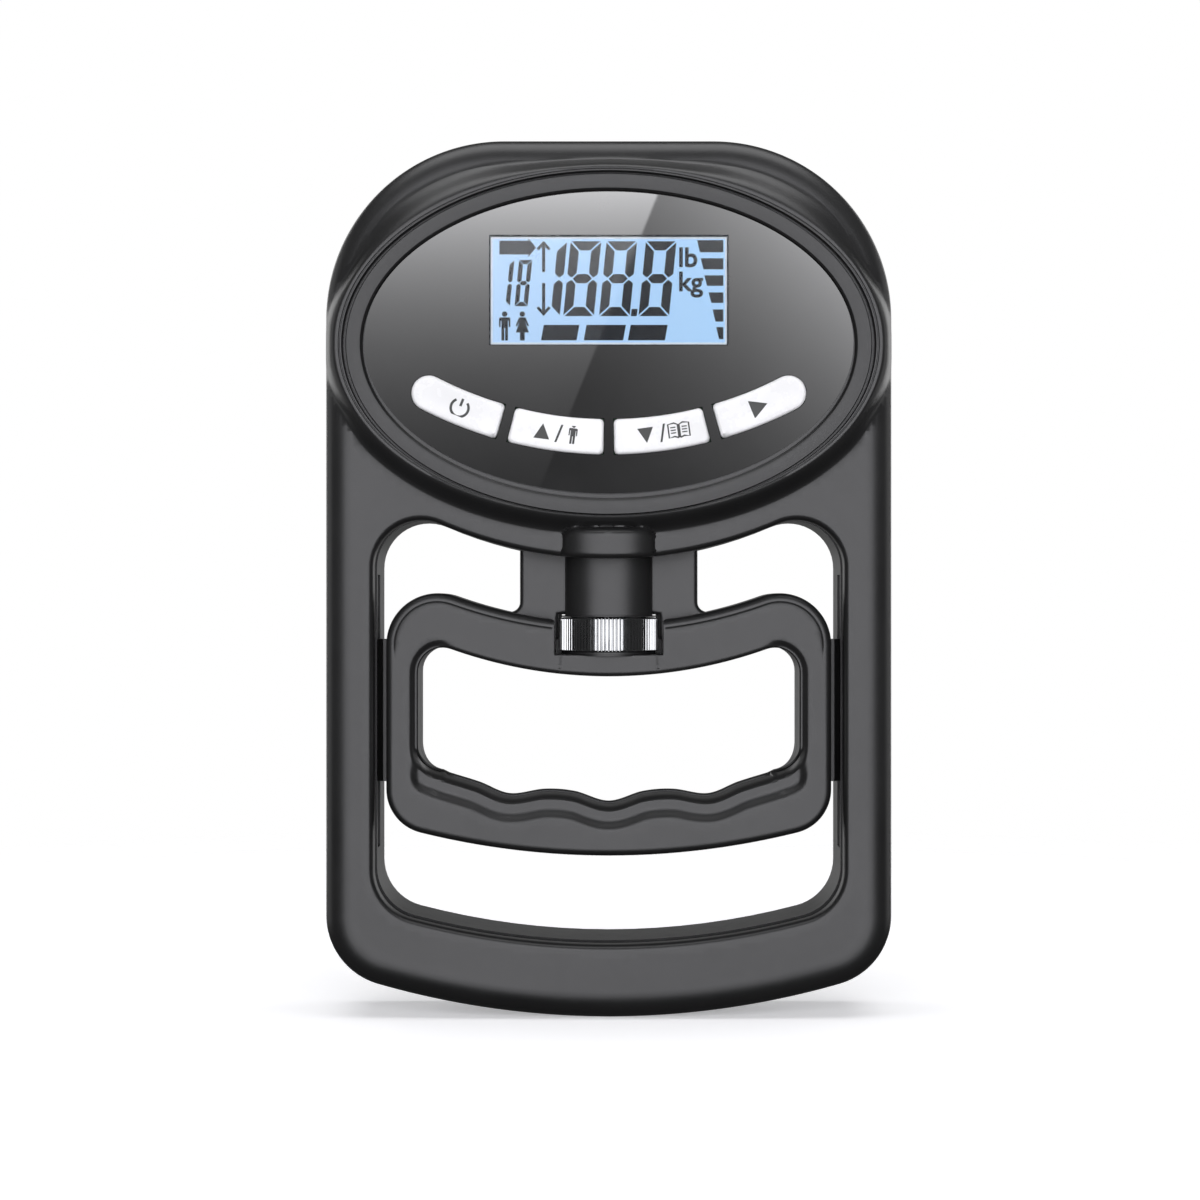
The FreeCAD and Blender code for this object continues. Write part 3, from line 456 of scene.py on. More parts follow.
def offset_loop(loop, distance):
    """Shift a closed loop sideways, by one distance or one for each point; positive is outwards."""
    points = np.array(loop)
    after = np.roll(points, -1, axis=0)
    area = (points[:, 0] * after[:, 1] - after[:, 0] * points[:, 1]).sum()
    ahead = after - np.roll(points, 1, axis=0)
    ahead /= np.linalg.norm(ahead, axis=1)[:, None]
    out = np.stack([ahead[:, 1], -ahead[:, 0]], axis=1) * math.copysign(1.0, area)
    return [tuple(p) for p in points + np.reshape(distance, (-1, 1)) * out]


def gap_to(points, loop):
    """Distance from each point to a closed loop."""
    points = np.asarray(points, float)
    start = np.asarray(loop, float)
    along = np.roll(start, -1, axis=0) - start
    length = np.maximum((along ** 2).sum(1), 1e-12)
    out = np.empty(len(points))
    for first in range(0, len(points), 2000):
        part = points[first:first + 2000, None, :]
        share = np.clip(((part - start) * along).sum(2) / length, 0, 1)
        out[first:first + 2000] = np.sqrt(((part - start - share[..., None] * along) ** 2).sum(2).min(1))
    return out


def inside(points, loop):
    x, z = np.asarray(points, float).T
    found = np.zeros(len(x), bool)
    for (x0, z0), (x1, z1) in zip(loop, loop[1:] + loop[:1]):
        if z0 != z1:
            found ^= ((z0 > z) != (z1 > z)) & (x < (x1 - x0) * (z - z0) / (z1 - z0) + x0)
    return found


def hex_grid(low, high, pitch):
    rows = []
    for row, z in enumerate(np.arange(low[1], high[1], pitch * 0.866)):
        xs = np.arange(low[0] + (row % 2) * pitch / 2, high[0], pitch)
        rows.append(np.stack([xs, np.full(len(xs), z)], axis=1))
    return np.concatenate(rows)


def quarter_round(distance, rounding):
    """How far an edge rounded over (width, depth) has dropped at a distance inside the outline."""
    width, depth = rounding
    short = np.clip(1 - distance / width, 0, 1)
    return depth * (1 - np.sqrt(1 - short ** 2))


def edge_insets(rounding, steps=8):
    return [rounding[0] * (1 - math.cos(math.radians(90 * k / steps))) for k in range(1, steps + 1)]


def followers(loop, insets, wanted=None):
    """Lines at several distances inside a loop, for a sheet to follow where wanted(points, inset) holds."""
    lines = []
    for inset in insets:
        ring = np.array(offset_loop(loop, -inset))
        lines.append((ring, wanted(ring, inset) if wanted else gap_to(ring, loop) > inset * 0.97))
    return lines


def blend_over(value, low, high):
    share = np.clip((value - low) / (high - low), 0, 1)
    return share * share * (3 - 2 * share)


# ==== meshes
def add_object(name, data):
    made = bpy.data.objects.new(name, data)
    bpy.context.scene.collection.objects.link(made)
    return made


def add_piece(name, shape, body, slot, stands_for=(), crease=32.0, finish=None):
    """Turn a bmesh into an object of the model, with its creases, material and body; the material is the
    slot's, or the finish's where one is given.
    """
    bmesh.ops.recalc_face_normals(shape, faces=shape.faces)
    limit = math.radians(crease)
    for face in shape.faces:
        face.smooth = True
    for edge in shape.edges:
        edge.smooth = len(edge.link_faces) == 2 and edge.calc_face_angle(0.0) < limit
    mesh = bpy.data.meshes.new(name)
    shape.to_mesh(mesh)
    shape.free()
    mesh.materials.append(MATERIALS[finish or slot])
    piece = add_object(name, mesh)
    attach(piece, body)
    if stands_for:
        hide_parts(*stands_for)
    return piece


def vertex(shape, x, y, z):
    return shape.verts.new((x * MM, y * MM, z * MM))


def add_ring(shape, loop, depth):
    """One vertex for each point of a loop; depth is its y, one y for each point, or a function of them."""
    depths = depth(np.array(loop)) if callable(depth) else np.broadcast_to(depth, len(loop))
    return [vertex(shape, x, y, z) for (x, z), y in zip(loop, depths)]


def add_wall(shape, first, second):
    count = len(first)
    for i in range(count):
        j = (i + 1) % count
        shape.faces.new((first[i], first[j], second[j], second[i]))


def add_skin(shape, rings, closed=True):
    for first, second in zip(rings, rings[1:] + (rings[:1] if closed else [])):
        add_wall(shape, first, second)


def add_walls(shape, loop, start, steps):
    """Walls from a ring of vertices through (outward shift, y) steps; returns the last loop and ring."""
    shifted, ring = loop, start
    for shift, depth in steps:
        shifted = offset_loop(loop, shift) if shift else loop
        after = add_ring(shape, shifted, depth)
        add_wall(shape, ring, after)
        ring = after
    return shifted, ring


def add_sheet(shape, rims, lines=(), loose=(), height=None):
    """Fill the region between rims, which are (loop, vertices), with triangles that follow the lines.
    The first rim is the outer one. A line is (points, which of them to keep)."""
    points, edges, owners = [], [], []
    for loop, ring in rims:
        first = len(points)
        points += loop
        owners += ring
        edges += [(first + i, first + (i + 1) % len(loop)) for i in range(len(loop))]
    for line, keep in lines:
        place = {}
        for i, (point, kept) in enumerate(zip(line, keep)):
            if kept:
                place[i] = len(points)
                points.append(tuple(point))
        steps = [(i, (i + 1) % len(line)) for i in range(len(line))]
        edges += [(place[i], place[j]) for i, j in steps if i in place and j in place]
    if len(loose):
        tree = KDTree(len(points))
        for i, (x, z) in enumerate(points):
            tree.insert((x, z, 0), i)
        tree.balance()
        for pitch, grid in loose:
            points += [tuple(p) for p in grid if tree.find((p[0], p[1], 0))[2] > 0.62 * pitch]
    made = delaunay_2d_cdt([Vector(p) for p in points], edges, [], 0, 1e-6)
    flat = np.array([tuple(v) for v in made[0]])
    middles = flat[np.array(made[2])].mean(axis=1)
    wanted = inside(middles, rims[0][0])
    for loop, _ in rims[1:]:
        wanted &= ~inside(middles, loop)
    depths = height(flat) if callable(height) else np.full(len(flat), height or 0.0)
    corners = {}
    for triangle, used in zip(made[2], wanted):
        if not used:
            continue
        for i in triangle:
            if i not in corners:
                known = [k for k in made[3][i] if k < len(owners)]
                corners[i] = owners[known[0]] if known else vertex(shape, flat[i][0], depths[i], flat[i][1])
        if len({corners[i] for i in triangle}) == 3:
            shape.faces.new([corners[i] for i in triangle])


def add_prism(shape, outline, front, back):
    """Flat plate with the outline's shape."""
    near, far = add_ring(shape, outline, front), add_ring(shape, outline, back)
    add_wall(shape, near, far)
    shape.faces.new(near)
    shape.faces.new(far)


def add_lathe(shape, profile, turns, radius_at):
    """Closed profile of (radius, z) turned about the screw's axis, through turns that run from 0 to 1;
    radius_at(radius, i) is the radius at the i-th of them."""
    rings = []
    for radius, z in profile:
        ring = []
        for i, turn in enumerate(turns):
            r, angle = radius_at(radius, i), 2 * math.pi * turn
            ring.append(vertex(shape, r * math.sin(angle), AXIS_Y - r * math.cos(angle), z))
        rings.append(ring)
    add_skin(shape, rings)


# ==== front case
CASE_OUTLINE = case_loop()
WINDOW_OUTLINE = both_halves(sum(cradle_halves(**WINDOW), []))
CREST_LOOP = head_loop(CREST)


def flare():
    """Width of the slope outside the crest and how much it bulges, for each point of the crest."""
    edge = gap_to(CREST_LOOP, CASE_OUTLINE)
    bulge = blend_over(-edge, -6.5, -4.0)
    most = 4.2 + 2.3 * blend_over(np.array(CREST_LOOP)[:, 1], 145, 165)
    widths = np.clip(edge - 5.0 * (1 - bulge), 3.0, most)
    reach = 7
    evened = []
    for row in (widths, bulge):
        around = np.concatenate([row[-reach:], row, row[:reach]])
        evened.append(np.convolve(around, np.full(2 * reach + 1, 1 / (2 * reach + 1)), "valid"))
    return evened


FLARE, BULGE = flare()


def flare_at(points, row=FLARE):
    """The slope's width, or another row of the same table, in the direction of each point."""
    x, z = points[:, 0] / (PANEL_A + CREST), (points[:, 1] - HEAD_Z) / (PANEL_B + CREST)
    turns = 2 * math.pi * np.arange(len(FLARE)) / len(FLARE)
    return np.interp(np.arctan2(z, x), turns, row, period=2 * math.pi)


def hood_raise(points):
    """The rounded hood over the sleeve, between the head and the window."""
    x, z = points[:, 0], points[:, 1]
    arch = np.sqrt(np.clip(1 - (x / HOOD_HALF_WIDTH) ** 2, 0, 1))
    across = np.clip(np.abs(x) - (HOOD_HALF_WIDTH - HOOD_CORNER), 0, HOOD_CORNER)
    top = HOOD_TOP - HOOD_CORNER + np.sqrt(HOOD_CORNER ** 2 - across ** 2)
    depth = np.clip((top - z) / 2.2, 0, 1)
    return np.where(z > WINDOW["low"] + 50, HOOD_BULGE * arch * np.sqrt(1 - (1 - depth) ** 2), 0)


def case_height(points):
    growth = head_growth(points)
    beyond = gap_to(points, CREST_LOOP)
    width = flare_at(points)
    on_rim = np.interp(growth, [g for g, _ in RIM_PROFILE], [rise for _, rise in RIM_PROFILE])
    share = np.clip(beyond / width, 0, 1)
    bulge = flare_at(points, BULGE)
    slope = RAISE * ((1 - bulge) * (1 - blend_over(share, 0, 1)) + bulge * (1 - share ** 2))
    outside = growth > CREST
    rise = np.maximum(np.where(outside, slope, on_rim), np.where(outside, hood_raise(points), 0))
    drop = quarter_round(gap_to(points, CASE_OUTLINE), EDGE_ROUNDING)
    drop += quarter_round(gap_to(points, WINDOW_OUTLINE), WINDOW_ROUNDING)
    return FACE - rise + np.where(outside, drop * blend_over(beyond, 0, width), 0)


def inner_height(points):
    inner = case_height(points) + WALL
    return np.where(head_growth(points) < CREST, SEAT_Y + 2.0, inner)


def front_case():
    shape = bmesh.new()
    lines = followers(CASE_OUTLINE, edge_insets(EDGE_ROUNDING),
                      lambda ring, _: head_growth(ring) > CREST + flare_at(ring) + 0.4)
    whole = [offset_loop(WINDOW_OUTLINE, inset) for inset in edge_insets(WINDOW_ROUNDING, 4)]
    whole += [head_loop(growth) for growth, _ in RIM_PROFILE[1:]]
    shares = (0.08, 0.18, 0.3, 0.42, 0.55, 0.7, 0.85, 1.0)
    lines += followers(CREST_LOOP, [-share * FLARE for share in shares],
                       lambda ring, _: (gap_to(ring, CASE_OUTLINE) > 0.25) & inside(ring, CASE_OUTLINE)
                       & (gap_to(ring, WINDOW_OUTLINE) > 1.3))
    for share in (0.88, 0.93, 0.965, 0.99, 1.0):
        for x in (-share * HOOD_HALF_WIDTH, share * HOOD_HALF_WIDTH):
            whole.append(spaced([(x, 104.5), (x, HOOD_TOP - HOOD_CORNER)], 0.4, closed=False))
    lines += [(line, [True] * len(line)) for line in whole]
    opening = head_loop(RIM_PROFILE[0][0])
    coarse = hex_grid((-CASE_HALF_WIDTH, 0), (CASE_HALF_WIDTH, CASE_HEIGHT), 1.4)
    coarse = coarse[inside(coarse, CASE_OUTLINE) & ~inside(coarse, WINDOW_OUTLINE) & ~inside(coarse, opening)]
    fine = hex_grid((-HOOD_HALF_WIDTH - 1.5, 101), (HOOD_HALF_WIDTH + 1.5, HOOD_TOP + 1.5), 0.45)
    fine = fine[~inside(fine, WINDOW_OUTLINE)]
    outlines = [CASE_OUTLINE, WINDOW_OUTLINE, opening]
    rims = [(loop, add_ring(shape, loop, case_height)) for loop in outlines]
    add_sheet(shape, rims, lines, [(0.45, fine), (1.4, coarse)], case_height)

    inner_loops = []
    for (loop, start), side, (width, depth) in zip(rims[:2], (-1, 1), GROOVES):
        back = np.full(len(loop), PARTING)
        x = np.array(loop)[:, 0]
        if side == 1:
            reach, rise = [half + gap for half, gap in zip(SLEEVE_FRONT, PASSAGE_GAP)]
            above = (np.abs(x) < reach) & (np.array(loop)[:, 1] > 90)
            passage = AXIS_Y - NECK_HALF_DEPTH - rise * np.sqrt(np.clip(1 - (x / reach) ** 2, 0, None))
            back = np.where(above, np.minimum(back, passage), back)
        steps = [(0, back - width), (side * depth, back - width), (side * depth, back), (side * WALL, back)]
        inner, ring = add_walls(shape, loop, start, steps)
        top = add_ring(shape, inner, inner_height)
        add_wall(shape, ring, top)
        inner_loops.append((inner, top))
    steps = [(RIM_PROFILE[0][0], LEDGE_Y), (0.1, LEDGE_Y), (0.1, SEAT_Y), (-2.5, SEAT_Y),
             (-2.5, SEAT_Y + 2.0)]
    rings = [rims[2][1]] + [add_ring(shape, head_loop(growth), depth) for growth, depth in steps]
    add_skin(shape, rings, closed=False)
    seat = head_loop(steps[-1][0])
    inner_loops.append((seat, rings[-1]))
    coarse = hex_grid((-CASE_HALF_WIDTH, 0), (CASE_HALF_WIDTH, CASE_HEIGHT), 2.4)
    keep = inside(coarse, inner_loops[0][0]) & ~inside(coarse, inner_loops[1][0]) & ~inside(coarse, seat)
    add_sheet(shape, inner_loops, (), [(2.4, coarse[keep])], inner_height)
    add_piece("front_shell", shape, "casing", "case_plastic", ["front_case"], crease=38)


def bezel_ring():
    """Flat band round the panel with small chamfers."""
    shape = bmesh.new()
    add_skin(shape, [add_ring(shape, head_loop(growth), depth) for growth, depth in RING_PROFILE])
    add_piece("ring_band", shape, "casing", "ring_plastic", ["bezel_ring"], crease=25)


# ==== handle
def handle_outline():
    """The handle's outline, with the notch that the wheel sits in."""
    radius = HANDLE["top_radius"]
    centre = HANDLE["top"] + radius
    shoulder = NOTCH_HALF_WIDTH + NOTCH_SHOULDER
    edge = centre - math.sqrt(radius ** 2 - shoulder ** 2)
    half = [(0.0, NOTCH_Z), (NOTCH_HALF_WIDTH, NOTCH_Z)]
    half += arc_points(shoulder, edge - NOTCH_SHOULDER, NOTCH_SHOULDER, 180, 97, 0.25)
    crown, base = cradle_halves(**HANDLE)
    return both_halves(half + [p for p in crown if p[0] > shoulder + 0.3] + base)


HANDLE_OUTLINE = handle_outline()
HANDLE_BODY = both_halves(sum(cradle_halves(**HANDLE), []))
OPENING = loop_opening()


def handle_height(points):
    """Depth of the handle's front below its flat face, as a y."""
    x, z = points[:, 0], points[:, 1]
    outside = gap_to(points, HANDLE_BODY)
    lip = 0.16 * np.exp(-((outside - LIP_INSET) / 0.14) ** 2) * blend_over(z, 78, 84)
    seat = 0.25 * blend_over(10.75 - np.abs(x), -0.12, 0.12) * blend_over(z, 75.6, 75.9)
    beside = np.hypot(np.clip(np.abs(x) - NOTCH_HALF_WIDTH, 0, None), np.clip(NOTCH_Z - z, 0, None))
    rim = np.maximum(quarter_round(outside, HANDLE_ROUNDING), quarter_round(beside, NOTCH_ROUNDING))
    edge = gap_to(points, OPENING)
    bar = blend_over(-z, -60, -53)
    crown = blend_over(LOOP["half_width"] - np.abs(x), 2.5, 8.5) * blend_over(z, 66, 70)
    plain = LOOP_DROP * blend_over(-edge, -LOOP_EDGE[0], -LOOP_EDGE[1]) + 0.3 * blend_over(-edge, -0.3, 0)
    plain += crown * (quarter_round(edge, (1.1, 1.1)) - plain)
    roll = np.clip((ROLL[0] - edge) / (ROLL[0] - ROLL[1]), 0, 1)
    within = blend_over(LOOP["half_width"] + 1.9 - np.abs(x), 0, 2.1)
    waved = VALLEY_DROP * within * blend_over(-edge, -VALLEY[0], -VALLEY[1]) + blend_over(-edge, -0.25, 0)
    waved += FINGER_DROP * (1 - np.sqrt(1 - roll ** 2))
    return HANDLE_FRONT + rim + np.maximum(lip, seat) + plain * (1 - bar) + waved * bar


def relief_half(name, loops, height, lines, loose, back, holes=(), stands_for=()):
    """Half of a moulding that is split at the middle plane: a shaped face, walls and a flat back.
    A hole is (centre, radius, y of its floor)."""
    shape = bmesh.new()
    depth = (lambda points: 2 * AXIS_Y - height(points)) if back else height
    rims = [(loop, add_ring(shape, loop, depth)) for loop in loops]
    cups = []
    for (x, z), radius, floor_y in holes:
        cup = arc_points(x, z, radius, 0, 360, 0.3)[:-1]
        ring, low = add_ring(shape, cup, depth), add_ring(shape, cup, floor_y)
        add_wall(shape, ring, low)
        shape.faces.new(low)
        cups.append((cup, ring))
    lines = [(ring, keep & far_from(ring, holes)) for ring, keep in lines]
    loose = [(pitch, grid[far_from(grid, holes)]) for pitch, grid in loose]
    add_sheet(shape, rims + cups, lines, loose, depth)
    near = AXIS_Y + (PARTING_GROOVE if back else -PARTING_GROOVE)
    ends = []
    for (loop, start), inward in zip(rims, (-PARTING_GROOVE, PARTING_GROOVE)):
        ends.append(add_walls(shape, loop, start, [(0, near), (inward, near), (inward, AXIS_Y)]))
    add_sheet(shape, ends, height=AXIS_Y)
    add_piece(name, shape, "handle", "handle_plastic", stands_for, crease=35)


def far_from(points, holes):
    keep = np.ones(len(points), bool)
    for (x, z), radius, _ in holes:
        keep &= np.hypot(points[:, 0] - x, points[:, 1] - z) > radius + 0.2
    return keep


def handle_halves():
    insets = edge_insets(HANDLE_ROUNDING, 6) + [LIP_INSET + step for step in (-0.25, -0.1, 0, 0.1, 0.25)]
    lines = followers(HANDLE_BODY, insets, lambda ring, inset: inside(ring, HANDLE_OUTLINE)
                      & (gap_to(ring, HANDLE_OUTLINE) > min(inset, 0.4) * 0.97))
    for inset in edge_insets(NOTCH_ROUNDING, 4):
        reach, low = NOTCH_HALF_WIDTH + inset, NOTCH_Z - inset
        ring = spaced([(-reach, 88.0), (-reach, low), (reach, low), (reach, 88.0)], 0.6, closed=False)
        lines.append((np.array(ring), inside(ring, HANDLE_BODY) & (gap_to(ring, HANDLE_BODY) > 0.1)))
    all_round = (0.08, 0.3, 0.5, 0.8, 1.1, 1.5, 1.9)
    on_bar = (0.62, 0.95, 1.3, 2.2, 2.8, 3.5, 4.0, 4.45, 4.9, 5.35, 5.8, 6.3)
    for insets, top in ((all_round, HANDLE["top"]), (on_bar, 60)):
        lines += followers(OPENING, [-inset for inset in insets],
                           lambda ring, inset: (ring[:, 1] < top) & (gap_to(ring, OPENING) > -inset * 0.985))
    width = HANDLE["half_width"]
    coarse = hex_grid((-width, HANDLE["low"]), (width, HANDLE["top"] + 12), 1.3)
    fine = hex_grid((-LOOP["half_width"] - 6, 39), (LOOP["half_width"] + 6, 62), 0.75)
    fine = fine[gap_to(fine, OPENING) < VALLEY[0] + 0.5]
    seat = hex_grid((-12, 75), (12, 80.2), 0.5)
    loose = [(pitch, grid[inside(grid, HANDLE_OUTLINE) & ~inside(grid, OPENING)])
             for pitch, grid in ((0.75, fine), (0.5, seat), (1.3, coarse))]
    holes = [((side * x, z), 2.4, 8.0) for x, z in ((40.5, 87.0), (42.0, 47.5)) for side in (-1, 1)]
    loops = [HANDLE_OUTLINE, OPENING]
    relief_half("handle_face", loops, handle_height, lines, loose, False, (), ["handle_front"])
    relief_half("handle_back", loops, handle_height, lines, loose, True, holes, ["handle_rear"])


def neck():
    """The flat plate that slides into the case, flared where it leaves the handle's top."""
    radius = HANDLE["top_radius"]
    foot = HANDLE["top"] + radius - math.sqrt(radius ** 2 - (NECK_HALF_WIDTH + NECK_FLARE) ** 2)
    half = [(0.0, NECK_TOP), (NECK_HALF_WIDTH - 1, NECK_TOP), (NECK_HALF_WIDTH, NECK_TOP - 1)]
    half += arc_points(NECK_HALF_WIDTH + NECK_FLARE, foot + NECK_FLARE, NECK_FLARE, 180, 262, 0.35)
    half += [(NECK_HALF_WIDTH + NECK_FLARE, foot - 2), (NECK_HALF_WIDTH, 84.0), (NECK_CUT, 84.0),
             (NECK_CUT, SLEEVE_Z[0]), (0.0, SLEEVE_Z[0])]
    outline = both_halves(half)

    def height(points):
        return AXIS_Y - NECK_HALF_DEPTH + quarter_round(gap_to(points, outline), NECK_ROUNDING)

    lines = followers(outline, edge_insets(NECK_ROUNDING, 5))
    holes = [((side * 15.9, 96.0), 2.2, 4.4) for side in (-1, 1)]
    grid = hex_grid((-24, 84), (24, NECK_TOP), 1.5)
    loose = [(1.5, grid[inside(grid, outline)])]
    relief_half("neck_front", [outline], height, lines, loose, False)
    relief_half("neck_back", [outline], height, lines, loose, True, holes)


def notch_webs():
    """The notch is narrower behind the wheel."""
    shape = bmesh.new()
    half_width, front = NOTCH_REAR
    for side in (-1, 1):
        for near, top, start, end in ((half_width, 88.2, front, 10.6), (10.7, SLEEVE_Z[0], 6.3, front + 0.2)):
            corners = [(near, NOTCH_Z - 0.5), (12.5, NOTCH_Z - 0.5), (12.5, top), (near, top)]
            add_prism(shape, [(side * x, z) for x, z in corners], start, end)
    add_piece("notch_webs", shape, "handle", "handle_plastic")


def sleeve():
    """Tube over the adjusting screw, with a thin flange at its foot. Its front is swollen to an ellipse."""
    low, high = SLEEVE_Z
    profile = [(SLEEVE_BORE, low - 0.15), (SLEEVE_BORE + 0.4, low - 0.55), (SLEEVE_RADIUS + 1.0, low - 0.55),
               (SLEEVE_RADIUS + 1.1, low - 0.45), (SLEEVE_RADIUS + 1.1, low - 0.25),
               (SLEEVE_RADIUS, low - 0.2), (SLEEVE_RADIUS, high), (SLEEVE_BORE, high)]
    turns = [i / 144 for i in range(144)]
    half_width, depth = SLEEVE_FRONT
    back = NECK_HALF_DEPTH / depth

    def swollen(radius, i):
        sine, cosine = math.sin(2 * math.pi * turns[i]), math.cos(2 * math.pi * turns[i])
        if radius != SLEEVE_RADIUS or cosine < NECK_HALF_DEPTH / SLEEVE_RADIUS:
            return radius
        a, b, c = (sine / half_width) ** 2 + (cosine / depth) ** 2, -cosine / depth * back, back ** 2 - 1
        return (-b + math.sqrt(b * b - a * c)) / a

    shape = bmesh.new()
    add_lathe(shape, profile, turns, swollen)
    add_piece("sleeve_tube", shape, "handle", "handle_plastic")


def tongues():
    """The sliding tongues on the handle's sides, with slanted fronts."""
    section = [(48.5, 0.0), (50.8, 0.0), (53.2, 2.2), (53.2, 4.7), (52.9, 5.0), (48.5, 5.0)]
    shape = bmesh.new()
    for side in (-1, 1):
        rings = []
        for z, inset in ((52.0, 0.5), (52.5, 0.0), (83.5, 0.0), (84.0, 0.5)):
            rings.append([vertex(shape, side * min(x, 53.2 - inset), y, z) for x, y in section])
        add_skin(shape, rings, closed=False)
        shape.faces.new(rings[0])
        shape.faces.new(rings[-1])
    add_piece("side_tongues", shape, "handle", "handle_plastic")


def wheel():
    """Knurled chrome wheel: straight teeth between chamfered rims. A thin washer lies under it."""
    low, high = WHEEL_Z
    places = (0.0, 0.08, 0.38, 0.72)        # the last two are on the tooth's tip
    turns = [(tooth + place) / WHEEL_TEETH for tooth in range(WHEEL_TEETH) for place in places]
    half = [(WHEEL_BORE, 0.0), (7.2, 0.0), (7.5, 0.25), (WHEEL_RADIUS - 1.2, 0.25), (WHEEL_RADIUS - 0.8, 0.0),
            (WHEEL_RADIUS - 0.4, 0.15), (WHEEL_RADIUS, 0.4)]
    profile = [(radius, low + rise) for radius, rise in half]
    profile += [(radius, high - rise) for radius, rise in reversed(half)]
    shape = bmesh.new()
    add_lathe(shape, profile, turns,
              lambda radius, i: radius - TOOTH_DEPTH if radius == WHEEL_RADIUS and i % 4 < 2 else radius)
    add_piece("knurled_wheel", shape, "wheel", "wheel_chrome", ["adjust_wheel"], crease=22)
    shape = bmesh.new()
    section = [(WHEEL_BORE, low - 0.5), (10.5, low - 0.5), (10.5, low - 0.05), (WHEEL_BORE, low - 0.05)]
    add_lathe(shape, section, [i / 120 for i in range(120)], lambda radius, i: radius)
    add_piece("wheel_washer", shape, "handle", "washer_plastic")


# ==== keys
def key_arc(angle, radius):
    turn = math.radians(angle)
    return (radius * math.sin(turn), KEY_CENTRE_Z - radius * math.cos(turn))


def key_outline(first, last, round_end, side):
    """Key between two angles from straight down; its outer end may be round. The corners are small arcs."""
    inner, outer = KEY_RADII
    middle, steps = (inner + outer) / 2, 14
    nip = math.degrees(KEY_CORNER / middle)
    end = last if round_end else last - nip
    start = first + nip
    points = [key_arc(first, outer - KEY_CORNER), key_arc(first, inner + KEY_CORNER),
              key_arc(first + nip * 0.3, inner + KEY_CORNER * 0.3)]
    points += [key_arc(start + (end - start) * i / steps, inner) for i in range(steps + 1)]
    if round_end:
        points += arc_points(*key_arc(last, middle), (outer - inner) / 2, 90 + last, last - 90, 0.5)[1:]
    else:
        points += [key_arc(last - nip * 0.3, inner + KEY_CORNER * 0.3), key_arc(last, inner + KEY_CORNER),
                   key_arc(last, outer - KEY_CORNER), key_arc(last - nip * 0.3, outer - KEY_CORNER * 0.3),
                   key_arc(end, outer)]
    points += [key_arc(end - (end - start) * i / steps, outer) for i in range(1, steps + 1)]
    points += [key_arc(first + nip * 0.3, outer - KEY_CORNER * 0.3)]
    return spaced([(side * x, z) for x, z in points], 0.8)


def key_cap(name, outline):
    """White key with a soft shoulder and a very slightly dished top."""
    shape = bmesh.new()

    def height(points):
        edge = gap_to(points, outline)
        return KEY_FRONT + quarter_round(edge, KEY_ROUNDING) + 0.1 * blend_over(edge, 0.75, 3.5)

    lines = followers(outline, edge_insets(KEY_ROUNDING, 5) + [1.4, 2.2])
    grid = hex_grid(np.min(outline, axis=0), np.max(outline, axis=0), 0.9)
    grid = grid[inside(grid, outline)]
    rim = (outline, add_ring(shape, outline, height))
    add_sheet(shape, [rim], lines, [(0.9, grid)], height)
    end = add_walls(shape, outline, rim[1], [(0, KEY_FRONT + 2.4)])
    add_sheet(shape, [end], height=KEY_FRONT + 2.4)
    add_piece(name + "_cap", shape, name, "key_white", [name], crease=40)


def stroke(points, width):
    """Outline of a line of even width."""
    line = np.array(points, float)
    ahead = np.gradient(line, axis=0)
    ahead /= np.linalg.norm(ahead, axis=1)[:, None]
    side = np.stack([-ahead[:, 1], ahead[:, 0]], axis=1) * width / 2
    return [tuple(p) for p in line + side] + [tuple(p) for p in (line - side)[::-1]]


def person(x, z, size, skirt=False):
    """Small standing figure."""
    head = arc_points(x, z + 0.42 * size, 0.09 * size, 0, 360, 0.1)[:-1]
    if skirt:
        half = [(0.11, 0.31), (0.23, 0.02), (0.18, 0.0), (0.09, 0.17), (0.22, -0.2), (0.08, -0.2),
                (0.08, -0.47)]
    else:
        half = [(0.16, 0.31), (0.19, 0.27), (0.19, -0.02), (0.14, -0.02), (0.13, 0.2), (0.11, 0.2),
                (0.11, -0.47), (0.015, -0.47), (0.015, -0.05)]
    body = half + [(-u, v) for u, v in reversed(half)]
    return [head, [(x + size * u, z + size * v) for u, v in body]]


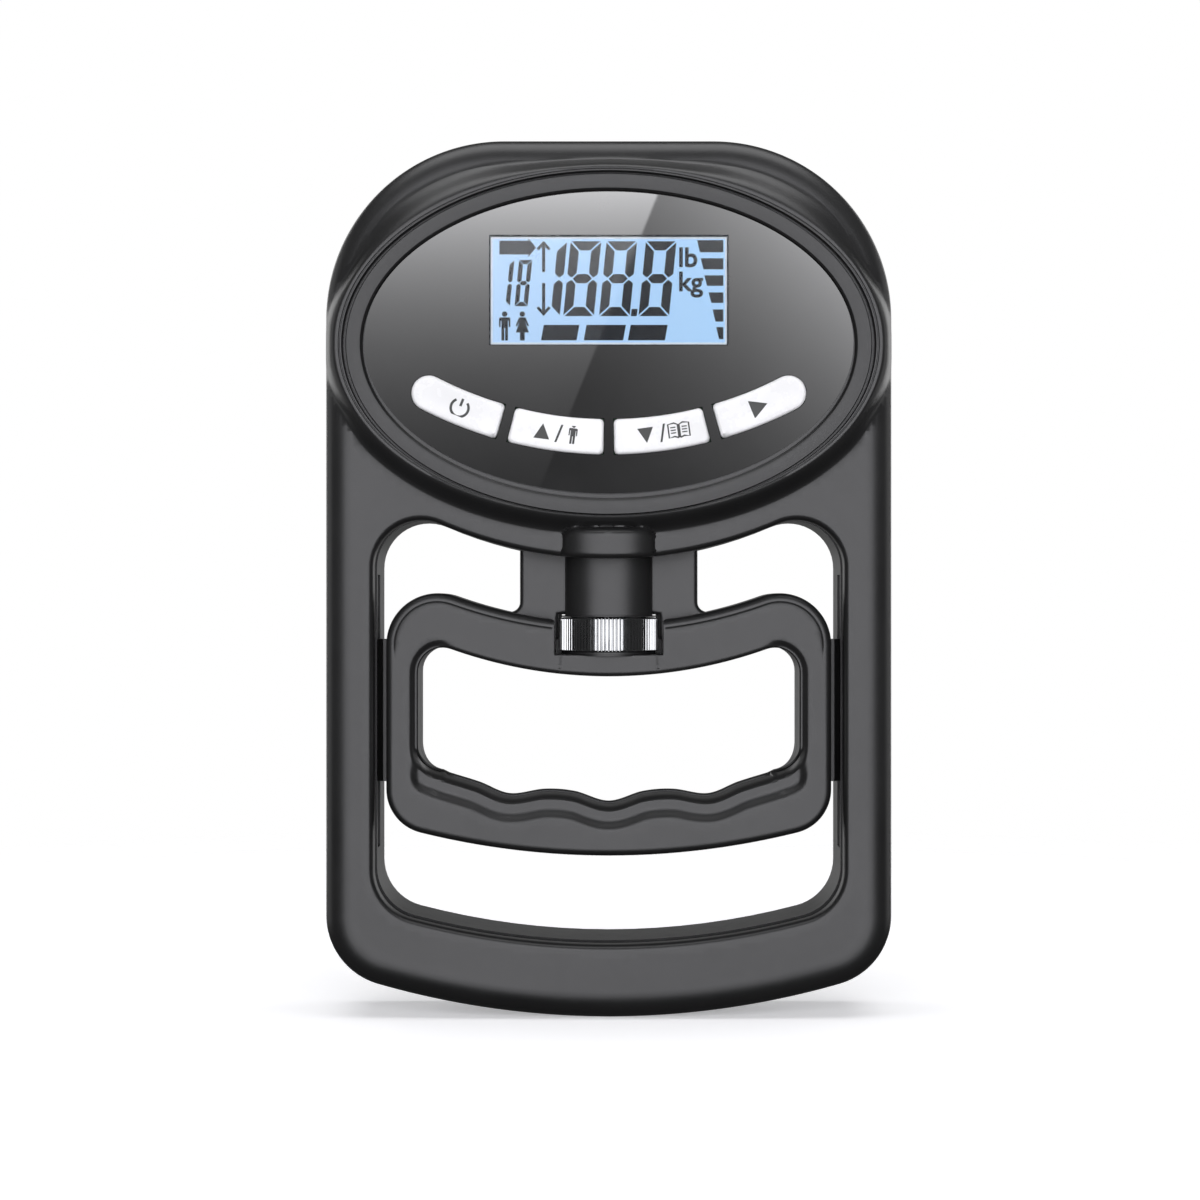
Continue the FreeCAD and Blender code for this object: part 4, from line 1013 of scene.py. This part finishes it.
def key_marks():
    """Generic symbols on the keys: power, up with a person, down with an open book, and start."""
    turns = [math.radians(angle) for angle in range(38, 323, 8)]
    arc = [(1.45 * math.sin(turn), 1.45 * math.cos(turn) - 0.1) for turn in turns]
    power = [stroke(arc, 0.42), [(-0.21, 1.9), (0.21, 1.9), (0.21, 0.2), (-0.21, 0.2)]]
    slash = [(-0.3, -1.7), (0.05, -1.7), (0.95, 1.7), (0.6, 1.7)]
    up = [[(-3.7, -1.2), (-1.1, -1.2), (-2.4, 1.3)], slash] + person(2.6, 0.0, 3.7)
    down = [[(-3.7, 1.2), (-1.1, 1.2), (-2.4, -1.3)], slash]
    for side in (-1, 1):
        page = [(0.12, -1.1), (0.12, 1.05), (0.7, 1.35), (1.7, 1.2), (1.7, -1.0), (0.8, -0.85)]
        rim = [(3.0 + side * u, v) for u, v in page]
        down.append(stroke(rim + rim[:1], 0.26))
        for level in (-0.35, 0.1, 0.55):
            rule = ((0.5, 0), (1.35, 0), (1.35, 0.18), (0.5, 0.2))
            down.append([(3.0 + side * u, level + lift) for u, lift in rule])
    start = [[(-1.1, -1.55), (-1.1, 1.55), (1.7, 0.0)]]
    middle = sum(KEY_RADII) / 2
    for name, angle, marks in (("power_key", -22.3, power), ("up_key", -7.6, up), ("down_key", 7.6, down),
                               ("start_key", 22.3, start)):
        x, z = key_arc(angle, middle)
        c, s = math.cos(math.radians(angle)), math.sin(math.radians(angle))
        shape = bmesh.new()
        for mark in marks:
            scaled = [(u * MARK_SCALE, v * MARK_SCALE) for u, v in mark]
            turned = [(x + u * c - v * s, z + u * s + v * c) for u, v in scaled]
            add_prism(shape, turned, KEY_FRONT + 0.04, KEY_FRONT + 0.2)
        add_piece(name + "_symbol", shape, name, "key_white", finish="key_ink")


def keys():
    """Four keys in an arc: the middle ones straight-ended, the outer ones round at their far ends."""
    middle, outer = (0.75, 14.4, False), (16.0, 27.3, True)
    for name, ends, side in (("power_key", outer, -1), ("up_key", middle, -1), ("down_key", middle, 1),
                             ("start_key", outer, 1)):
        key_cap(name, key_outline(*ends, side))
    key_marks()


# ==== display
def on_lcd(u, v):
    """Place on the display: u from the left, v from the top, both 0 to 1."""
    return (LCD_X[0] + u * (LCD_X[1] - LCD_X[0]), LCD_Z[1] - v * (LCD_Z[1] - LCD_Z[0]))


def digit(left, right, top, bottom, bars="abcdefg", weight=2.0):
    """Seven-bar digit between two corners given on the display."""
    (x0, z1), (x1, z0) = on_lcd(left, top), on_lcd(right, bottom)
    width, height = x1 - x0, z1 - z0
    w, gap, mid = weight, weight * 0.12, height / 2
    roof = [(gap, height), (width - gap, height), (width - w - gap, height - w), (w + gap, height - w)]
    side = [(0, height - gap), (w, height - w - gap), (w, mid + w / 2 + gap), (w / 2, mid + gap),
            (0, mid + w / 2)]
    bar = [(w / 2 + gap, mid), (w + gap, mid + w / 2), (width - w - gap, mid + w / 2),
           (width - w / 2 - gap, mid), (width - w - gap, mid - w / 2), (w + gap, mid - w / 2)]
    shapes = {}
    for shape, names in ((roof, "aadd"), (side, "fbec"), (bar, "gggg")):
        for name, right_hand, lower in zip(names, (False, True, False, True), (False, False, True, True)):
            shapes[name] = [(width - u if right_hand else u, height - v if lower else v) for u, v in shape]
    return [[(x0 + u + LCD_SLANT * (v - mid), z0 + v) for u, v in shapes[name]] for name in bars]


def block(left, right, top, bottom, lean=0.0):
    return [on_lcd(left + lean, top), on_lcd(right + lean, top), on_lcd(right, bottom), on_lcd(left, bottom)]


def lcd_border(outer, inner):
    """Four strips round the display, between two insets given as shares of its width."""
    tall = (LCD_X[1] - LCD_X[0]) / (LCD_Z[1] - LCD_Z[0])
    top, low = outer * tall, inner * tall
    return [block(outer, 1 - outer, top, low), block(outer, 1 - outer, 1 - low, 1 - top),
            block(outer, inner, low, 1 - low), block(1 - inner, 1 - outer, low, 1 - low)]


def arrow(u, tip, tail):
    (x, z_tip), (_, z_tail) = on_lcd(u, tip), on_lcd(u, tail)
    way = 1 if z_tip > z_tail else -1
    half = [(0.0, 0.0), (1.55, 1.75), (1.05, 2.15), (0.35, 1.3), (0.35, abs(z_tip - z_tail))]
    right = [(x + across, z_tip - way * along) for across, along in half]
    return [right + [(2 * x - across, z) for across, z in reversed(right[1:])]]


def word(text, left, base, height):
    """Unit mark in the plain built-in letters, as a mesh; returns its corners and faces."""
    data = bpy.data.curves.new(text, "FONT")
    data.body = text
    data.size = height
    data.offset = height * 0.022
    data.fill_mode = "FRONT"
    ghost = bpy.data.objects.new(text, data)
    flat = ghost.to_mesh()
    x, z = on_lcd(left, base)
    corners = [(x + v.co.x, z + v.co.y) for v in flat.vertices]
    faces = [tuple(p.vertices) for p in flat.polygons]
    ghost.to_mesh_clear()
    bpy.data.objects.remove(ghost)
    return corners, faces


def display():
    """Dark display elements on the glass, with the unit marks, and a pale frame line round them."""
    tag = ((0.042, 0.045), (0.163, 0.045), (0.163, 0.02), (0.195, 0.107), (0.163, 0.195), (0.163, 0.17),
           (0.042, 0.17))
    marks = [[on_lcd(u, v) for u, v in tag]]
    marks += digit(0.062, 0.095, 0.22, 0.64, "bc", 0.95) + digit(0.115, 0.17, 0.22, 0.64, weight=0.95)
    marks += arrow(0.227, 0.045, 0.33) + arrow(0.227, 0.73, 0.43)
    x, z = on_lcd(0.064, 0.825)
    marks += person(x, z, 6.5) + person(x + PERSON_PITCH, z, 6.5, skirt=True)
    marks += digit(0.262, 0.31, 0.05, 0.73, "bc")
    for left in (0.325, 0.475, 0.64):
        marks += digit(left, left + 0.128, 0.05, 0.73)
    marks.append(block(0.592, 0.617, 0.665, 0.73, 0.004))
    for left, right in ((0.216, 0.365), (0.395, 0.56), (0.58, 0.735)):
        marks.append(block(left, right, 0.81, 0.95, 0.012))
    for left, top, low in ((0.87, 0.04, 0.15), (0.885, 0.205, 0.305), (0.9, 0.36, 0.455),
                           (0.918, 0.515, 0.61), (0.935, 0.67, 0.78), (0.95, 0.83, 0.94)):
        corners = ((left, top), (0.98, top), (0.98, low), (left + 0.012, low))
        marks.append([on_lcd(u, v) for u, v in corners])
    marks += lcd_border(0.0, 0.0055)
    shape = bmesh.new()
    for mark in marks:
        add_prism(shape, mark, LCD_Y - MARK_THICKNESS, LCD_Y)
    for text, base in (("lb", 0.28), ("kg", 0.5)):
        corners, faces = word(text, 0.79, base, 6.0)
        sides = [add_ring(shape, corners, depth) for depth in (LCD_Y - MARK_THICKNESS, LCD_Y)]
        for face in faces:
            for side in sides:
                shape.faces.new([side[i] for i in face])
    add_piece("display_marks", shape, "casing", "lcd_glass", finish="lcd_ink")
    shape = bmesh.new()
    for strip in lcd_border(0.0055, 0.0135):
        add_prism(shape, strip, LCD_Y - 0.06, LCD_Y)
    add_piece("display_frame", shape, "casing", "lcd_glass", finish="lcd_frame")


# ==== studio
def camera():
    data = bpy.data.cameras.new("camera")
    data.lens = LENS
    data.sensor_width = 36.0
    data.shift_x = CAMERA_SHIFT
    data.clip_start = 0.01
    data.clip_end = 20.0
    rig = add_object("camera", data)
    rig.location = CAMERA_PLACE
    rig.rotation_euler = (math.pi / 2, 0, 0)
    bpy.context.scene.camera = rig


def softbox(name, place, target, size, glow, mirrored_too=True):
    """Rectangular light; glow is the brightness of its face."""
    data = bpy.data.lights.new(name, "AREA")
    data.shape = "RECTANGLE"
    data.size, data.size_y = size
    data.energy = glow * math.pi * size[0] * size[1]
    lamp = add_object(name, data)
    lamp.location = place
    aim = Vector(target) - Vector(place)
    lamp.rotation_euler = aim.to_track_quat("-Z", "Y").to_euler()
    lamp.visible_camera = False
    lamp.visible_glossy = mirrored_too


def plane(name, corners):
    mesh = bpy.data.meshes.new(name)
    mesh.from_pydata(corners, [], [tuple(range(len(corners)))])
    piece = add_object(name, mesh)
    return piece


def front_card():
    """Large glowing card behind the camera. The panel mirrors the middle of it: a bright sheet with a
    slanted edge, fading downwards. Everything else mirrors its even surround."""
    low, high = CARD_RISE - CARD_HALF, CARD_RISE + CARD_HALF
    card = plane("front_card", [(-CARD_HALF, CARD_Y, low), (CARD_HALF, CARD_Y, low),
                                (CARD_HALF, CARD_Y, high), (-CARD_HALF, CARD_Y, high)])
    card.visible_camera = False
    look = Look("front_card")
    parts = look.node("SeparateXYZ", {"Vector": look.place})
    x, z = parts.outputs["X"], parts.outputs["Z"]
    (x0, z0), (x1, z1) = mirrored_place(*SHEEN_FOOT), mirrored_place(*SHEEN_HEAD)
    edge = look.maths("ADD", look.slope(z, z0, (x1 - x0) / (z1 - z0)), x0)
    left = look.ranged(look.maths("SUBTRACT", edge, x), source=(-0.0012, 0.0012))
    bright, dim = [fading_sheen(look, x, z, **sheen) for sheen in (SHEEN_LEFT, SHEEN_RIGHT)]
    pattern = look.between(left, dim, bright)
    x_middle, z_middle = mirrored_place(0, HEAD_Z)
    sides = look.slope(x, x_middle, 1 / PATTERN_REACH[0]), look.slope(z, z_middle, 1 / PATTERN_REACH[1])
    away = look.maths("ADD", *[look.maths("MULTIPLY", side, side) for side in sides])
    glow = look.between(look.ranged(away, source=(1.0, 1.15)), pattern, CARD_GLOW)
    lamp = look.node("Emission", {"Color": grey(1.0), "Strength": glow})
    look.feed(look.output.inputs["Surface"], lamp.outputs["Emission"])
    card.data.materials.append(look.material)


def fading_sheen(look, x, z, glow, at, across, up):
    """Glow that fades evenly over the card: across and up are its rates for a millimetre of the panel."""
    (x0, z0), (x1, z1) = mirrored_place(*at), mirrored_place(at[0] + 1, at[1] + 1)
    rates = look.slope(x, x0, across / (x1 - x0)), look.slope(z, z0, up / (z1 - z0))
    fade = look.maths("EXPONENT", look.maths("ADD", *rates))
    return look.maths("MAXIMUM", look.maths("MULTIPLY", fade, glow), SHEEN_LEAST)


def mirrored_place(x, z):
    """Where on the card the panel's point (x, z), in millimetres, sees its reflection."""
    eye_x, eye_y, eye_z = bpy.context.scene.camera.location
    share = (SEAT_Y * MM - CARD_Y) / (SEAT_Y * MM - eye_y)
    return x * MM + (x * MM - eye_x) * share, z * MM + (z * MM - eye_z) * share


def backdrop():
    """White surround for the camera only; the object itself is lit by a dim surround and the lights."""
    world = bpy.data.worlds.new("studio")
    bpy.context.scene.world = world
    world.use_nodes = True
    tree = world.node_tree
    mix = tree.nodes.new("ShaderNodeMixShader")
    path = tree.nodes.new("ShaderNodeLightPath")
    tree.links.new(path.outputs["Is Camera Ray"], mix.inputs["Fac"])
    for socket, strength in ((1, SURROUND), (2, 1.0)):
        seen = tree.nodes.new("ShaderNodeBackground")
        seen.inputs["Color"].default_value = (1, 1, 1, 1)
        seen.inputs["Strength"].default_value = strength
        tree.links.new(seen.outputs["Background"], mix.inputs[socket])
    tree.links.new(mix.outputs["Shader"], tree.nodes["World Output"].inputs["Surface"])


def floor():
    """White floor that takes the object's soft shadow and fades into the backdrop all round."""
    size = 0.6
    piece = plane("floor", [(-size, -size, 0), (size, -size, 0), (size, size, 0), (-size, size, 0)])
    piece.visible_glossy = False
    piece.visible_diffuse = False
    look = Look("floor")
    look.set(Base_Color=look.blend(look.noise(6.0), grey(0.93), grey(0.95)), Roughness=0.9,
             Emission_Color=grey(1.0), Emission_Strength=FLOOR_GLOW, Specular_IOR_Level=0.1)
    reach = look.node("VectorMath", {0: look.place}, operation="LENGTH").outputs["Value"]
    clear = look.node("BsdfTransparent")
    faded = look.ranged(reach, source=FLOOR_FADE)
    piece.data.materials.append(look.mix_shaders(faded, look.shader, clear))


def studio():
    bpy.context.scene.view_settings.view_transform = "Standard"
    camera()
    backdrop()
    front_card()
    floor()
    middle = (0, 0, 0.1)
    softbox("top_box", (0, -0.1, 1.25), middle, (1.4, 0.8), 2.8)
    softbox("back_box_middle", (0, 1.6, 0.25), middle, (1.2, 1.2), 0.22)
    for side, name in ((-1, "left"), (1, "right")):
        softbox("back_box_" + name, (side * 0.9, 1.3, 0.35), middle, (0.7, 1.2), 1.4)
        softbox("side_box_" + name, (side * 1.4, 0.35, 0.25), middle, (0.7, 1.2), 0.8)


# ==== assembly
MATERIALS = make_materials()
studio()
slots = {row["node"]: row["material_slot"] for row in frame["record"]["subparts"]}
for name, node in nodes.items():
    for holder in node.material_slots:
        holder.material = MATERIALS[slots[name]]
front_case()
bezel_ring()
handle_halves()
neck()
sleeve()
tongues()
notch_webs()
wheel()
keys()
display()
